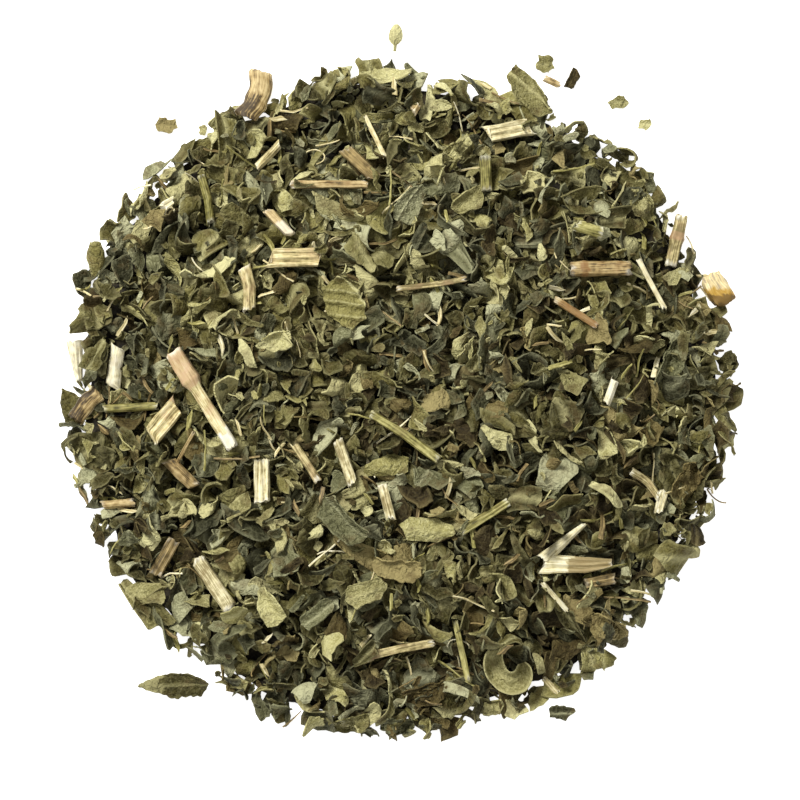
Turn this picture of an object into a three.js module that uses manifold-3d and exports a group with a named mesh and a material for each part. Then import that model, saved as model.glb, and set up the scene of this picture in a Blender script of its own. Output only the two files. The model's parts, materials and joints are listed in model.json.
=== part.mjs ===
// A loose round heap of dried mint, cut and sifted: torn leaf flakes packed into a low bed, with cut stems
// and the larger leaf fragments lying in its surface, and a few crumbs fallen beside it.
// Millimetres, +Z up. The origin lies on the surface that the heap rests on, under the middle of the bed.

import * as THREE from "three";
import { mergeVertices } from "three/addons/utils/BufferGeometryUtils.js";
import Module from "manifold-3d";

const wasm = await Module();
wasm.setup();

// ---------------------------------------------------------------- driving dimensions
const HEAP_RADIUS = 48.5; // where the flakes thin out to the bare surface
const RIM_WAVER = 0.9; // how far the rim swings in and out of that circle
const PACKED_HEIGHT = 6.2; // top of the packed leaf, under the flakes that stand out of it
const LUMP_HEIGHT = 0.7; // hummocks in the packed leaf
const CORE_SHARE = 0.9; // packed leaf reaches this share of the rim's radius
const SHOULDER_SHARE = 0.6; // inside this share of the radius the heap is level
const EDGE_HEIGHT = 0.8; // packed leaf at the foot of the slope
const FLAKE_COUNT = 128; // flakes in the bed, larger than life so that they still cover it
const FLAKE_LENGTH = [8.6, 11.4];
const FLAKE_WIDTH = [5.6, 7.4];
const FLAKE_TILT = 32; // most that a flake is tipped, in degrees; those at the rim lie flatter
const RIM_INSET = 2.8; // how far inside the rim the outermost flakes are centred
const BLADE = 0.6; // thickness of a leaf flake
const STEM_CLEARANCE = 0.5; // gap left in the bed round each stem
const LEAF_CLEARANCE = 1.0; // gap left in the bed round each larger leaf fragment
const DEGREE = Math.PI / 180;

const COLOURS = {
  bed: { color: "#59532f", roughness: 0.85 },
  olive: { color: "#847c50", roughness: 0.8 },
  greyGreen: { color: "#6c6a4b", roughness: 0.85 },
  yellowGreen: { color: "#b0a86c", roughness: 0.75 },
  brownLeaf: { color: "#7a6238", roughness: 0.8 },
  straw: { color: "#d3c38d", roughness: 0.7 },
  cream: { color: "#e6dfba", roughness: 0.75 },
  tan: { color: "#b8945c", roughness: 0.65 },
  greenStem: { color: "#a39e62", roughness: 0.7 },
  brownStem: { color: "#72603f", roughness: 0.75 },
  pith: { color: "#d9c06a", roughness: 0.7 },
};

const materials = Object.fromEntries(
  Object.entries(COLOURS).map(([name, look]) => [
    name,
    new THREE.MeshStandardMaterial({ name, metalness: 0, ...look }),
  ]),
);

// ---------------------------------------------------------------- helpers
// Repeatable random numbers from 0 to 1 (mulberry32).
function seeded(seed) {
  let state = seed >>> 0;
  return () => {
    state = (state + 0x6d2b79f5) >>> 0;
    let mixed = Math.imul(state ^ (state >>> 15), 1 | state);
    mixed = (mixed + Math.imul(mixed ^ (mixed >>> 7), 61 | mixed)) ^ mixed;
    return ((mixed ^ (mixed >>> 14)) >>> 0) / 4294967296;
  };
}

const between = (random, [low, high]) => low + (high - low) * random();

// A closed geometry as a solid for joining and cutting.
function solidOf(geometry, matrix = new THREE.Matrix4()) {
  const bare = geometry.clone().applyMatrix4(matrix);
  for (const name of Object.keys(bare.attributes)) {
    if (name !== "position") bare.deleteAttribute(name);
  }
  const merged = mergeVertices(bare, 1e-4);
  return new wasm.Manifold(
    new wasm.Mesh({
      numProp: 3,
      vertProperties: merged.attributes.position.array,
      triVerts: new Uint32Array(merged.index.array),
    }),
  );
}

function geometryOf(solid) {
  const mesh = solid.getMesh();
  const geometry = new THREE.BufferGeometry();
  geometry.setAttribute("position", new THREE.BufferAttribute(mesh.vertProperties, 3));
  geometry.setIndex(new THREE.BufferAttribute(mesh.triVerts, 1));
  geometry.computeVertexNormals();
  return geometry;
}

// Moves every vertex of a geometry in place.
function reshape(geometry, move) {
  const position = geometry.attributes.position;
  const point = new THREE.Vector3();
  for (let i = 0; i < position.count; i++) {
    move(point.fromBufferAttribute(position, i));
    position.setXYZ(i, point.x, point.y, point.z);
  }
  return geometry;
}

// A closed sheet: place(u, v) gives its middle surface for u and v from -1 to 1. Both faces are split alike.
function thickSheet(columns, rows, thickness, place) {
  const step = 0.02;
  const points = [];
  const at = (i, j) => (side) => (side * (columns + 1) + i) * (rows + 1) + j;
  for (const side of [0.5, -0.5]) {
    for (let i = 0; i <= columns; i++) {
      for (let j = 0; j <= rows; j++) {
        const u = (2 * i) / columns - 1;
        const v = (2 * j) / rows - 1;
        const along = place(u + step, v).sub(place(u - step, v));
        const across = place(u, v + step).sub(place(u, v - step));
        const normal = along.cross(across).normalize();
        points.push(...place(u, v).addScaledVector(normal, side * thickness));
      }
    }
  }
  const faces = [];
  const quad = (a, b, c, d) => faces.push(a, b, c, a, c, d);
  for (let i = 0; i < columns; i++) {
    for (let j = 0; j < rows; j++) {
      const corners = [at(i, j), at(i + 1, j), at(i + 1, j + 1), at(i, j + 1)];
      const [a, b, c, d] = corners.map((corner) => corner(0));
      const [e, f, g, h] = corners.map((corner) => corner(1));
      quad(a, b, c, d);
      faces.push(e, g, f, e, h, g);
    }
  }
  const edge = [];
  for (let i = 0; i < columns; i++) edge.push(at(i, 0));
  for (let j = 0; j < rows; j++) edge.push(at(columns, j));
  for (let i = columns; i > 0; i--) edge.push(at(i, rows));
  for (let j = rows; j > 0; j--) edge.push(at(0, j));
  edge.forEach((here, k) => {
    const next = edge[(k + 1) % edge.length];
    quad(here(0), here(1), next(1), next(0));
  });
  const geometry = new THREE.BufferGeometry();
  geometry.setAttribute("position", new THREE.Float32BufferAttribute(points, 3));
  geometry.setIndex(faces);
  return geometry;
}

// ---------------------------------------------------------------- form of the heap
// Rim radius in a direction, and the height of the packed leaf at a point.
function rimRadius(angle) {
  const waver = Math.sin(3 * angle + 0.6) + 0.7 * Math.sin(5 * angle + 2.1) + 0.6 * Math.sin(8 * angle);
  return HEAP_RADIUS + (RIM_WAVER * waver) / 2;
}

function packedTop(x, y) {
  const share = Math.hypot(x, y) / (CORE_SHARE * rimRadius(Math.atan2(y, x)));
  const slope = THREE.MathUtils.smoothstep(share, SHOULDER_SHARE, 1);
  const lumps = Math.sin(x / 4.7 + 1.3) * Math.cos(y / 4.1 + 0.7) + 0.6 * Math.sin((x - y) / 7.3);
  return EDGE_HEIGHT + (PACKED_HEIGHT - EDGE_HEIGHT) * (1 - slope) + LUMP_HEIGHT * lumps * (1 - slope);
}

// ---------------------------------------------------------------- bed of packed flakes
// The packed leaf below the flakes, flat underneath.
function packedCore() {
  const profile = [new THREE.Vector2(0, 0), new THREE.Vector2(CORE_SHARE * HEAP_RADIUS, 0)];
  for (const share of [1, 0.88, 0.74, 0.55, 0.3, 0]) {
    profile.push(new THREE.Vector2(share * CORE_SHARE * HEAP_RADIUS, 1));
  }
  const core = new THREE.LatheGeometry(profile, 30);
  core.rotateX(Math.PI / 2);
  return reshape(core, (point) => {
    const stretch = rimRadius(Math.atan2(point.y, point.x)) / HEAP_RADIUS;
    point.x *= stretch;
    point.y *= stretch;
    if (point.z > 0.5) point.z = packedTop(point.x, point.y);
  });
}

// One torn flake: a blade of leaf folded along its rib, with six ragged outline points.
function bedFlake(random) {
  const length = between(random, FLAKE_LENGTH);
  const width = between(random, FLAKE_WIDTH);
  const fold = between(random, [-1.1, 1.5]);
  const reach = Array.from({ length: 6 }, () => between(random, [0.55, 0.95]));
  return thickSheet(1, 2, BLADE, (u, v) => {
    const corner = (u > 0 ? 3 : 0) + Math.round(v + 1);
    const onRib = Math.abs(v) < 0.5;
    return new THREE.Vector3(
      (u * length * (onRib ? 1 : reach[corner])) / 2,
      (v * width * (onRib ? 1 : 0.25 + 0.75 * reach[corner])) / 2,
      fold * Math.abs(v),
    );
  });
}

// Flakes spread evenly over the heap, like seeds on a sunflower, each turned and tipped its own way. What is
// above the resting surface is kept, clear of the spaces for the pieces that lie in the bed.
function leafBed(spaces) {
  const random = seeded(41);
  const golden = Math.PI * (3 - Math.sqrt(5));
  const solids = [solidOf(packedCore())];
  for (let i = 0; i < FLAKE_COUNT; i++) {
    const angle = i * golden + between(random, [-0.05, 0.05]);
    const share = Math.sqrt((i + 0.5) / FLAKE_COUNT);
    const radius = share * (rimRadius(angle) - RIM_INSET);
    const x = radius * Math.cos(angle);
    const y = radius * Math.sin(angle);
    const z = Math.max(1.3, packedTop(x, y) + between(random, [0, 0.7]));
    const tilt = FLAKE_TILT * (1 - 0.5 * share) * DEGREE;
    const tumble = new THREE.Euler(between(random, [-tilt, tilt]), between(random, [-tilt, tilt]), 0);
    const atRim = share > 0.85;
    const turn = atRim ? angle + between(random, [50, 130]) * DEGREE : between(random, [0, 2 * Math.PI]);
    const flake = bedFlake(random).rotateZ(turn);
    flake.applyMatrix4(new THREE.Matrix4().makeRotationFromEuler(tumble));
    if (atRim) {
      const tangent = new THREE.Vector3(-Math.sin(angle), Math.cos(angle), 0);
      const slump = new THREE.Matrix4().makeRotationAxis(tangent, between(random, [4, 16]) * DEGREE);
      flake.applyMatrix4(slump);
    }
    solids.push(solidOf(flake.translate(x, y, z)));
  }
  const above = new THREE.BoxGeometry(200, 200, 60).translate(0, 0, 30);
  const bed = wasm.Manifold.union(solids).intersect(solidOf(above)).subtract(wasm.Manifold.union(spaces));
  const [largest] = bed.decompose().sort((a, b) => b.volume() - a.volume());
  return geometryOf(largest);
}

// ---------------------------------------------------------------- cut stems
// Each stem form returns a closed geometry along X, centred on the origin. With a gap it returns the space
// that the stem needs in the bed, which is simpler and larger all round.

// Bows a stem sideways and lets its ends be cut on the slant.
function bowed(geometry, length, bow = 0, slant = 0) {
  return reshape(geometry, (point) => {
    const share = (2 * point.x) / length;
    point.x += slant * point.y * share * share;
    point.y += bow * (1 - share * share);
  });
}

// A whole stem: four ridges round a square section, with a swollen joint where leaves were borne.
function roundStem({ length, width, bow, slant, joint, jointWidth = width, taper = 1 }, gap = 0) {
  const along = (share) => (share - 0.5) * length;
  const radius = (share) => (width / 2) * (1 + (taper - 1) * share);
  const stations = [0, 0.5, 1].filter((share) => joint === undefined || Math.abs(share - joint) > 0.12);
  const profile = stations.map((share) => [along(share), radius(share)]);
  if (joint !== undefined) {
    const half = jointWidth / 2;
    profile.push([along(joint) - 0.55 * width, radius(joint)], [along(joint), half]);
    profile.push([along(joint) + 0.7 * width, radius(joint)]);
    profile.sort((a, b) => a[0] - b[0]);
  }
  const points = profile.map(([x, r]) => new THREE.Vector2(gap ? 1.25 * r + gap : r, x));
  points[0].y -= gap;
  points[points.length - 1].y += gap;
  points.unshift(new THREE.Vector2(0, points[0].y));
  points.push(new THREE.Vector2(0, points[points.length - 1].y));
  const stem = new THREE.LatheGeometry(points, gap ? 6 : 8).rotateZ(-Math.PI / 2);
  reshape(stem, (point) => {
    const ridge = gap ? 1 : 1 - 0.09 * Math.cos(4 * Math.atan2(point.z, point.y));
    point.y *= ridge;
    point.z *= ridge;
  });
  return bowed(stem, length, bow, slant);
}

// Extrudes a section, given as [across, up] points, along X. The space it needs is a plain block.
function extrudedStem(section, { length, bow, slant }, gap) {
  const across = section.map(([y]) => y);
  const up = section.map(([, z]) => z);
  const [left, right] = [Math.min(...across) - gap, Math.max(...across) + gap];
  const [low, high] = [Math.min(...up) - gap, Math.max(...up) + gap];
  const outline = gap ? [[left, low], [right, low], [right, high], [left, high]] : section;
  const shape = new THREE.Shape(outline.map(([y, z]) => new THREE.Vector2(y, z)));
  const depth = length + 2 * gap;
  const steps = bow || !gap ? 2 : 1;
  const stem = new THREE.ExtrudeGeometry(shape, { depth, steps, bevelEnabled: false });
  stem.translate(0, 0, -depth / 2).rotateX(Math.PI / 2).rotateZ(Math.PI / 2);
  return bowed(stem, length, bow, slant);
}

// A stem split lengthwise, its hollow side up: bark below, two pale walls and the pith channel between them.
function splitStem(size, gap = 0) {
  const half = size.width / 2;
  const wall = 0.42 * size.width;
  return extrudedStem(
    [[-half, 0.4 * wall], [-0.86 * half, -0.5 * wall], [-0.35 * half, -wall], [0.35 * half, -wall],
      [0.86 * half, -0.5 * wall], [half, 0.4 * wall], [0.72 * half, wall], [0.36 * half, 0.2 * wall],
      [0, 0.55 * wall], [-0.36 * half, 0.2 * wall], [-0.72 * half, wall]],
    size, gap,
  );
}

// A splinter torn off a stem: flat below, with one ridge.
function sliverStem(size, gap = 0) {
  const half = size.width / 2;
  const thick = 0.32 * size.width + 0.12;
  return extrudedStem(
    [[-half, 0], [-0.6 * half, -thick], [0.6 * half, -thick], [half, 0], [0.15 * half, thick],
      [-0.5 * half, 0.8 * thick]],
    size, gap,
  );
}

// A curled strip of bark that has come away from its stem.
function barkStrip({ length, width, bow }, gap = 0) {
  return thickSheet(4, 3, 0.7 + 2.8 * gap, (u, v) => {
    const radius = 0.62 * width;
    const turn = v * (1.25 + gap / radius);
    return new THREE.Vector3(
      u * (length / 2 + gap),
      radius * Math.sin(turn) + bow * (1 - u * u),
      radius * (Math.cos(turn) - 0.6) + 0.5 * u,
    );
  });
}

// A chip of pith: the soft inner stem, cut into a block.
function pithChip({ length, width }, gap = 0) {
  const chip = new THREE.BoxGeometry(length + 2 * gap, width + 2 * gap, 0.75 * width + 2 * gap, 2, 2, 1);
  return reshape(chip, (point) => {
    const middle = Math.abs(point.x) < 0.01 || Math.abs(point.y) < 0.01;
    point.z *= middle ? 1.12 : 0.9;
    point.y += 0.12 * point.x;
  });
}

// A stem with a side shoot, one piece as it grew.
function forkedStem(size, gap = 0) {
  const shoot = sliverStem({ length: size.shootLength, width: size.shootWidth, bow: 0.3, slant: 0.2 }, gap);
  shoot.translate(size.shootLength / 2, 0, 0).rotateZ(size.shootAngle * DEGREE);
  shoot.translate(-0.46 * size.length, 0.3, 0.1);
  return geometryOf(solidOf(splitStem(size, gap)).add(solidOf(shoot)));
}

const STEM_FORMS = {
  round: roundStem,
  split: splitStem,
  sliver: sliverStem,
  bark: barkStrip,
  pith: pithChip,
  forked: forkedStem,
};

// at: middle of the piece; heading: way it points, anticlockwise from +X; lift: height over the packed leaf;
// pitch and roll tip it, in degrees.
const STEMS = [
  {
    form: "round", at: [-27.8, 0.1], heading: -58, lift: 1.9, pitch: 3, colour: "straw",
    length: 16.5, width: 2.1, joint: 0.2, jointWidth: 3.7,
  },
  {
    form: "split", at: [-33.3, -2.8], heading: 50, lift: 1.5, pitch: -4, colour: "straw",
    length: 6.8, width: 2.9, slant: 0.3,
  },
  {
    form: "split", at: [-19.4, -11.7], heading: -89, lift: 1.7, pitch: 2, colour: "cream",
    length: 6.8, width: 2.3,
  },
  {
    form: "round", at: [-26.4, -26.5], heading: -56, lift: 1.8, pitch: 4, colour: "cream",
    length: 8.8, width: 2.5, slant: -0.2,
  },
  {
    form: "split", at: [-33.7, -22.8], heading: 61, lift: 1.5, pitch: -5, colour: "brownStem",
    length: 6.3, width: 1.9,
  },
  {
    form: "split", at: [-15.0, 20.3], heading: 1, lift: 1.8, pitch: -2, colour: "straw",
    length: 8.4, width: 2.8, slant: 0.15,
  },
  {
    form: "sliver", at: [-21.6, 16.0], heading: -83, lift: 1.3, pitch: 5, colour: "straw",
    length: 7.3, width: 1.9, bow: 0.4,
  },
  {
    form: "round", at: [29.1, 18.8], heading: 1, lift: 1.9, pitch: 2, colour: "tan",
    length: 8.8, width: 2.5, joint: 0.22, jointWidth: 3.0,
  },
  {
    form: "round", at: [40.2, 23.0], heading: 77, lift: 1.4, pitch: -3, colour: "straw",
    length: 7.6, width: 2.1, joint: 0.55, jointWidth: 2.8,
  },
  {
    form: "split", at: [15.9, 38.8], heading: 10, lift: 1.7, pitch: 3, colour: "cream",
    length: 7.8, width: 2.5, slant: -0.3,
  },
  {
    form: "round", at: [12.6, 32.5], heading: -88, lift: 1.7, pitch: -6, colour: "greenStem",
    length: 5.2, width: 1.9,
  },
  {
    form: "split", at: [-5.4, 33.9], heading: -44, lift: 1.5, pitch: 3, colour: "brownStem",
    length: 7.1, width: 1.9,
  },
  {
    form: "round", at: [-9.9, 30.7], heading: 0, lift: 2.1, pitch: 1, colour: "tan",
    length: 11.0, width: 1.3, bow: 0.2,
  },
  {
    form: "round", at: [-17.0, 25.4], heading: -47, lift: 1.7, pitch: 5, colour: "tan",
    length: 4.9, width: 1.6, slant: 0.3,
  },
  {
    form: "sliver", at: [-18.7, 35.2], heading: 47, lift: 1.5, pitch: -7, colour: "straw",
    length: 5.6, width: 1.2,
  },
  {
    form: "sliver", at: [-27.7, 28.9], heading: -79, lift: 1.6, pitch: 2, colour: "greenStem",
    length: 7.8, width: 1.2, bow: 0.3,
  },
  {
    form: "bark", at: [-21.0, 44.2], heading: -108, lift: 0.9, pitch: 6, colour: "tan",
    length: 7.3, width: 2.6, bow: 0.9,
  },
  {
    form: "forked", at: [25.4, -23.6], heading: -2, lift: 1.8, pitch: 2, colour: "cream",
    length: 10.7, width: 2.2, shootLength: 8.6, shootWidth: 1.3, shootAngle: 35,
  },
  {
    form: "round", at: [0.9, -5.2], heading: -34, lift: 2.3, pitch: 2, colour: "greenStem",
    length: 12.0, width: 1.35, bow: 0.3, taper: 1.15,
  },
  {
    form: "round", at: [4.8, 16.7], heading: 8, lift: 1.8, pitch: 1, colour: "straw",
    length: 10.3, width: 0.95, bow: -0.4,
  },
  {
    form: "round", at: [-13.5, -8.3], heading: -57, lift: 1.8, pitch: 2, colour: "straw",
    length: 8.1, width: 1.3,
  },
  {
    form: "split", at: [-7.5, -8.9], heading: -71, lift: 1.6, pitch: 3, colour: "cream",
    length: 7.5, width: 1.5,
  },
  {
    form: "split", at: [-1.6, -14.6], heading: -75, lift: 1.7, pitch: 4, colour: "cream",
    length: 5.7, width: 1.4,
  },
  {
    form: "split", at: [12.5, -16.6], heading: 32, lift: 1.6, pitch: -2, colour: "greenStem",
    length: 8.5, width: 1.3,
  },
  {
    form: "sliver", at: [-40.7, 5.0], heading: 84, lift: 1.5, pitch: -2, colour: "cream",
    length: 6.6, width: 1.7, slant: 0.4,
  },
  {
    form: "sliver", at: [-46.4, 5.6], heading: -82, lift: 0.9, pitch: 8, colour: "cream",
    length: 6.6, width: 1.7,
  },
  {
    form: "bark", at: [-44.9, -0.9], heading: 50, lift: 1.1, pitch: -8, colour: "tan",
    length: 5.2, width: 1.7, bow: 0.3,
  },
  {
    form: "sliver", at: [-38.6, -1.1], heading: 3, lift: 1.4, pitch: 2, colour: "greenStem",
    length: 8.2, width: 1.2,
  },
  {
    form: "sliver", at: [-31.2, -10.4], heading: -45, lift: 1.5, pitch: 2, colour: "tan",
    length: 6.2, width: 1.9, slant: 0.2,
  },
  {
    form: "sliver", at: [-40.4, -15.0], heading: 5, lift: 1.5, pitch: 1, colour: "tan",
    length: 5.4, width: 1.3,
  },
  {
    form: "round", at: [25.5, 12.4], heading: -33, lift: 1.6, pitch: 4, colour: "tan",
    length: 7.2, width: 1.3, taper: 0.8,
  },
  {
    form: "round", at: [36.5, 16.7], heading: -62, lift: 2.0, pitch: 3, colour: "cream",
    length: 8.2, width: 0.85,
  },
  {
    form: "sliver", at: [30.4, 1.2], heading: 70, lift: 1.7, pitch: 4, colour: "cream",
    length: 4.3, width: 1.2,
  },
  {
    form: "round", at: [0.2, -36.0], heading: 12, lift: 2.0, pitch: 1, colour: "straw",
    length: 10.2, width: 1.45, bow: 0.4, taper: 0.85,
  },
  {
    form: "round", at: [9.1, -35.9], heading: -78, lift: 1.8, pitch: 3, colour: "greenStem",
    length: 8.8, width: 1.0,
  },
  {
    form: "sliver", at: [35.6, -12.2], heading: -44, lift: 1.7, pitch: 3, colour: "straw",
    length: 6.3, width: 1.2, bow: 0.5,
  },
  {
    form: "pith", at: [46.2, 16.0], heading: -77, lift: 1.0, pitch: 6, colour: "pith",
    length: 4.0, width: 3.3,
  },
];

// ---------------------------------------------------------------- larger leaf fragments
// A piece of leaf blade: toothed sides, ends tapered or torn across, folded along its rib, arched, twisted.
function leafPiece(size, gap = 0) {
  const { length, width, fold = 0.5, arch = 0.6, twist = 0, tip = 0.5, tail = 0.5, tooth = 0.07 } = size;
  const columns = gap ? 3 : 6;
  return thickSheet(columns, gap ? 2 : 4, BLADE + 2 * gap, (u, v) => {
    const narrowing = u > 0 ? 1 - (1 - tip) * u ** 2 : 1 - (1 - tail) * u ** 2;
    const station = Math.round(((u + 1) / 2) * columns);
    const notch = Math.abs(v) > 0.9 && !gap ? 1 + tooth * (station % 2 ? 1 : -1) : 1;
    const y = v * (width / 2 + gap) * narrowing * notch;
    const lean = twist * DEGREE * u;
    const z = fold * Math.abs(v) ** 1.3 - arch * u * u;
    return new THREE.Vector3(
      u * (length / 2 + gap) + 0.1 * length * (v * v - 0.4) * Math.sign(tip - tail),
      y * Math.cos(lean) - z * Math.sin(lean),
      y * Math.sin(lean) + z * Math.cos(lean),
    );
  });
}

// A leaf that dried into an open ring, seen from above as a disc with a hole.
function curledLeaf({ length }, gap = 0) {
  return thickSheet(gap ? 9 : 12, gap ? 1 : 2, BLADE + 2 * gap, (u, v) => {
    const angle = u * 152 * DEGREE;
    const radius = 0.5 * length * (0.64 + 0.36 * v) + gap * v;
    return new THREE.Vector3(
      radius * Math.cos(angle),
      radius * Math.sin(angle),
      0.05 * radius * radius + 0.35 * u,
    );
  });
}

const LEAF_FORMS = { blade: leafPiece, curled: curledLeaf };

const LEAVES = [
  {
    form: "blade", at: [-7.5, -17.3], heading: -50, lift: 1.5, pitch: -5, colour: "greyGreen",
    length: 8.8, width: 6.1, fold: 0.9, arch: 0.5, tip: 0.55, tail: 0.75,
  },
  {
    form: "blade", at: [-11.6, -30.6], heading: 37, lift: 1.7, pitch: -4, colour: "greyGreen",
    length: 6.3, width: 3.0, fold: 0.7, tip: 0.8, tail: 0.4,
  },
  {
    form: "blade", at: [-4.6, -27.4], heading: 20, lift: 2.1, pitch: -3, colour: "olive",
    length: 7.0, width: 3.4, fold: -0.6, tip: 0.3, tail: 0.35,
  },
  {
    form: "blade", at: [4.2, -18.6], heading: -5, lift: 1.8, pitch: 2, colour: "yellowGreen",
    length: 7.2, width: 3.2, fold: -0.4, arch: -0.5, tip: 0.25, tail: 0.6,
  },
  {
    form: "blade", at: [-0.5, -23.9], heading: -16, lift: 1.4, pitch: 2, colour: "brownLeaf",
    length: 8.2, width: 3.2, fold: 0.6, tip: 0.15, tail: 0.7,
  },
  {
    form: "curled", at: [15.8, -39.7], heading: 100, lift: 1.6, pitch: 4, colour: "olive",
    length: 6.5, width: 6.5,
  },
  {
    form: "blade", at: [-1.7, -9.4], heading: 15, lift: 0.9, pitch: 2, colour: "brownLeaf",
    length: 6.0, width: 2.8, fold: -0.5, tip: 0.5, tail: 0.3,
  },
  {
    form: "blade", at: [-7.7, 13.8], heading: -55, lift: 1.5, pitch: 3, colour: "yellowGreen",
    length: 7.2, width: 5.2, fold: 0.7, arch: -0.4, tip: 0.5, tail: 0.6,
  },
  {
    form: "blade", at: [1.6, 28.4], heading: 60, lift: 1.7, pitch: -5, colour: "greyGreen",
    length: 5.8, width: 4.2, fold: -0.5, tip: 0.75, tail: 0.45,
  },
  {
    form: "blade", at: [9.8, 28.5], heading: 14, lift: 1.4, pitch: 6, colour: "olive",
    length: 5.2, width: 2.9, fold: 0.6, tip: 0.25, tail: 0.6,
  },
  {
    form: "blade", at: [19.3, 44.0], heading: -38, lift: 1.1, pitch: 2, colour: "olive",
    length: 9.4, width: 3.6, fold: 0.7, arch: 0.3, tip: 0.6, tail: 0.2,
  },
  {
    form: "blade", at: [-18.0, -29.6], heading: -65, lift: 1.9, pitch: 3, colour: "yellowGreen",
    length: 6.1, width: 3.8, fold: 1.1, tip: 0.6, tail: 0.7,
  },
  {
    form: "blade", at: [-32.3, -41.0], heading: 4, lift: 0.85, pitch: -2, colour: "brownLeaf",
    length: 9.9, width: 3.8, fold: -0.7, arch: 0.4, tip: 0.7, tail: 0.1,
  },
  {
    form: "blade", at: [30.7, -32.3], heading: -20, lift: 1.9, pitch: 4, colour: "brownLeaf",
    length: 5.8, width: 3.8, fold: 0.5, tip: 0.2, tail: 0.7,
  },
  {
    form: "blade", at: [-18.3, 8.7], heading: -15, lift: 1.7, pitch: 2, colour: "yellowGreen",
    length: 7.0, width: 3.5, fold: 0.4, arch: -0.5, tip: 0.7, tail: 0.6,
  },
];

// ---------------------------------------------------------------- crumbs beside the heap
// Small scraps that lie on the bare surface.
const CRUMBS = [
  { at: [-33.5, 39.8], heading: 20, length: 2.9, width: 2.5, colour: "brownLeaf" },
  { at: [21.3, 48.6], heading: -8, length: 3.2, width: 1.9, colour: "olive" },
  { at: [31.9, 43.1], heading: 42, length: 2.6, width: 1.5, colour: "olive" },
  { at: [35.8, 39.9], heading: 15, length: 1.8, width: 1.6, colour: "yellowGreen" },
  { at: [23.6, -45.4], heading: 15, length: 4.1, width: 2.1, colour: "greyGreen" },
];

function crumb({ length, width }) {
  return thickSheet(2, 2, BLADE, (u, v) => {
    const ragged = u * v > 0.5 ? 0.6 : 1;
    const z = 0.18 * Math.abs(v) - 0.1 * u * u;
    return new THREE.Vector3((u * length * ragged) / 2, (v * width * ragged) / 2, z);
  });
}

// A flower bud that fell on its side, with the stub of its stalk.
const BUD = { at: [-0.3, 52.4], heading: 95, length: 3.9, width: 2.0, colour: "yellowGreen" };

function flowerBud({ length, width }) {
  const stalk = [[0, -0.5], [0.16, -0.5], [0.17, -0.22]];
  const cup = [[0.42, -0.12], [0.5, 0.15], [0.4, 0.36], [0.18, 0.5], [0, 0.5]];
  const profile = [...stalk, ...cup].map(
    ([across, along]) => new THREE.Vector2(across * width, along * length),
  );
  return new THREE.LatheGeometry(profile, 7).rotateZ(-Math.PI / 2);
}

// ---------------------------------------------------------------- assembly
const heap = new THREE.Group();

function place(name, geometry, { at: [x, y], heading, pitch = 0, colour }, z) {
  const mesh = new THREE.Mesh(geometry, materials[colour]);
  mesh.name = name;
  mesh.rotation.set(0, -pitch * DEGREE, heading * DEGREE, "ZYX");
  mesh.position.set(x, y, z);
  mesh.updateMatrix();
  heap.add(mesh);
  return mesh;
}

// Lays a list of pieces in the bed and returns the space that each one needs there.
function layInBed(kind, pieces, forms, clearance) {
  return pieces.map((piece, k) => {
    const build = forms[piece.form];
    const name = `${kind}_${piece.form}_${String(k + 1).padStart(2, "0")}`;
    const mesh = place(name, build(piece), piece, packedTop(...piece.at) + piece.lift);
    const space = solidOf(build(piece, clearance), mesh.matrix);
    return build === forkedStem ? space : space.hull();
  });
}

// Sets a crumb down on the bare surface.
function setDown(name, geometry, crumbling) {
  geometry.computeBoundingBox();
  place(name, geometry, crumbling, -geometry.boundingBox.min.z);
}

const spaces = [
  ...layInBed("stem", STEMS, STEM_FORMS, STEM_CLEARANCE),
  ...layInBed("leaf", LEAVES, LEAF_FORMS, LEAF_CLEARANCE),
];
const bed = new THREE.Mesh(leafBed(spaces), materials.bed);
bed.name = "leaf_bed";
heap.add(bed);

CRUMBS.forEach((scrap, k) => setDown(`crumb_0${k + 1}`, crumb(scrap), scrap));
setDown("flower_bud", flowerBud(BUD), BUD);

export default heap;
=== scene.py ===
import json
import math

import bmesh
import bpy
import numpy as np
from mathutils import Matrix, Vector, noise
from mathutils.bvhtree import BVHTree
from mathutils.kdtree import KDTree


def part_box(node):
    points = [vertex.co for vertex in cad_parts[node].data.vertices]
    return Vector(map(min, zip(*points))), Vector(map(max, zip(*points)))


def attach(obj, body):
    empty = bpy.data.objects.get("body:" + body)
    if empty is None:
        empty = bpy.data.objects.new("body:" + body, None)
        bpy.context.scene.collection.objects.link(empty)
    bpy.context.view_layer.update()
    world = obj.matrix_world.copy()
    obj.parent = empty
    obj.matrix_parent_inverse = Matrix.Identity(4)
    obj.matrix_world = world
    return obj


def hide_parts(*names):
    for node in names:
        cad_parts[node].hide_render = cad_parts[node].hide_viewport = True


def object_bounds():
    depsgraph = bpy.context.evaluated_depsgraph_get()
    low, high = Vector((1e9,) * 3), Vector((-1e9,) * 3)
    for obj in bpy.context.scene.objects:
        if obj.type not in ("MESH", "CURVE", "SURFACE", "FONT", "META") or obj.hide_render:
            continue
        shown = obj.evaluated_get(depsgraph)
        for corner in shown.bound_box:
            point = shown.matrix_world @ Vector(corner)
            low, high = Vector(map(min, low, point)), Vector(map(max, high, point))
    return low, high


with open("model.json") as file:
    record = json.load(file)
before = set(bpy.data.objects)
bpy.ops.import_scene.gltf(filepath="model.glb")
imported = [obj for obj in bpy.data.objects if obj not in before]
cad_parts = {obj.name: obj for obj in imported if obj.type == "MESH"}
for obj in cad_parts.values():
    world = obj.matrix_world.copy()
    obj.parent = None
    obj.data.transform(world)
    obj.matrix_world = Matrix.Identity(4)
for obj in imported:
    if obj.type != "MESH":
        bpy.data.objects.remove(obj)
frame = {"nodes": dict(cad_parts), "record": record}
cad_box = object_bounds()
nodes = frame["nodes"]

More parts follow.
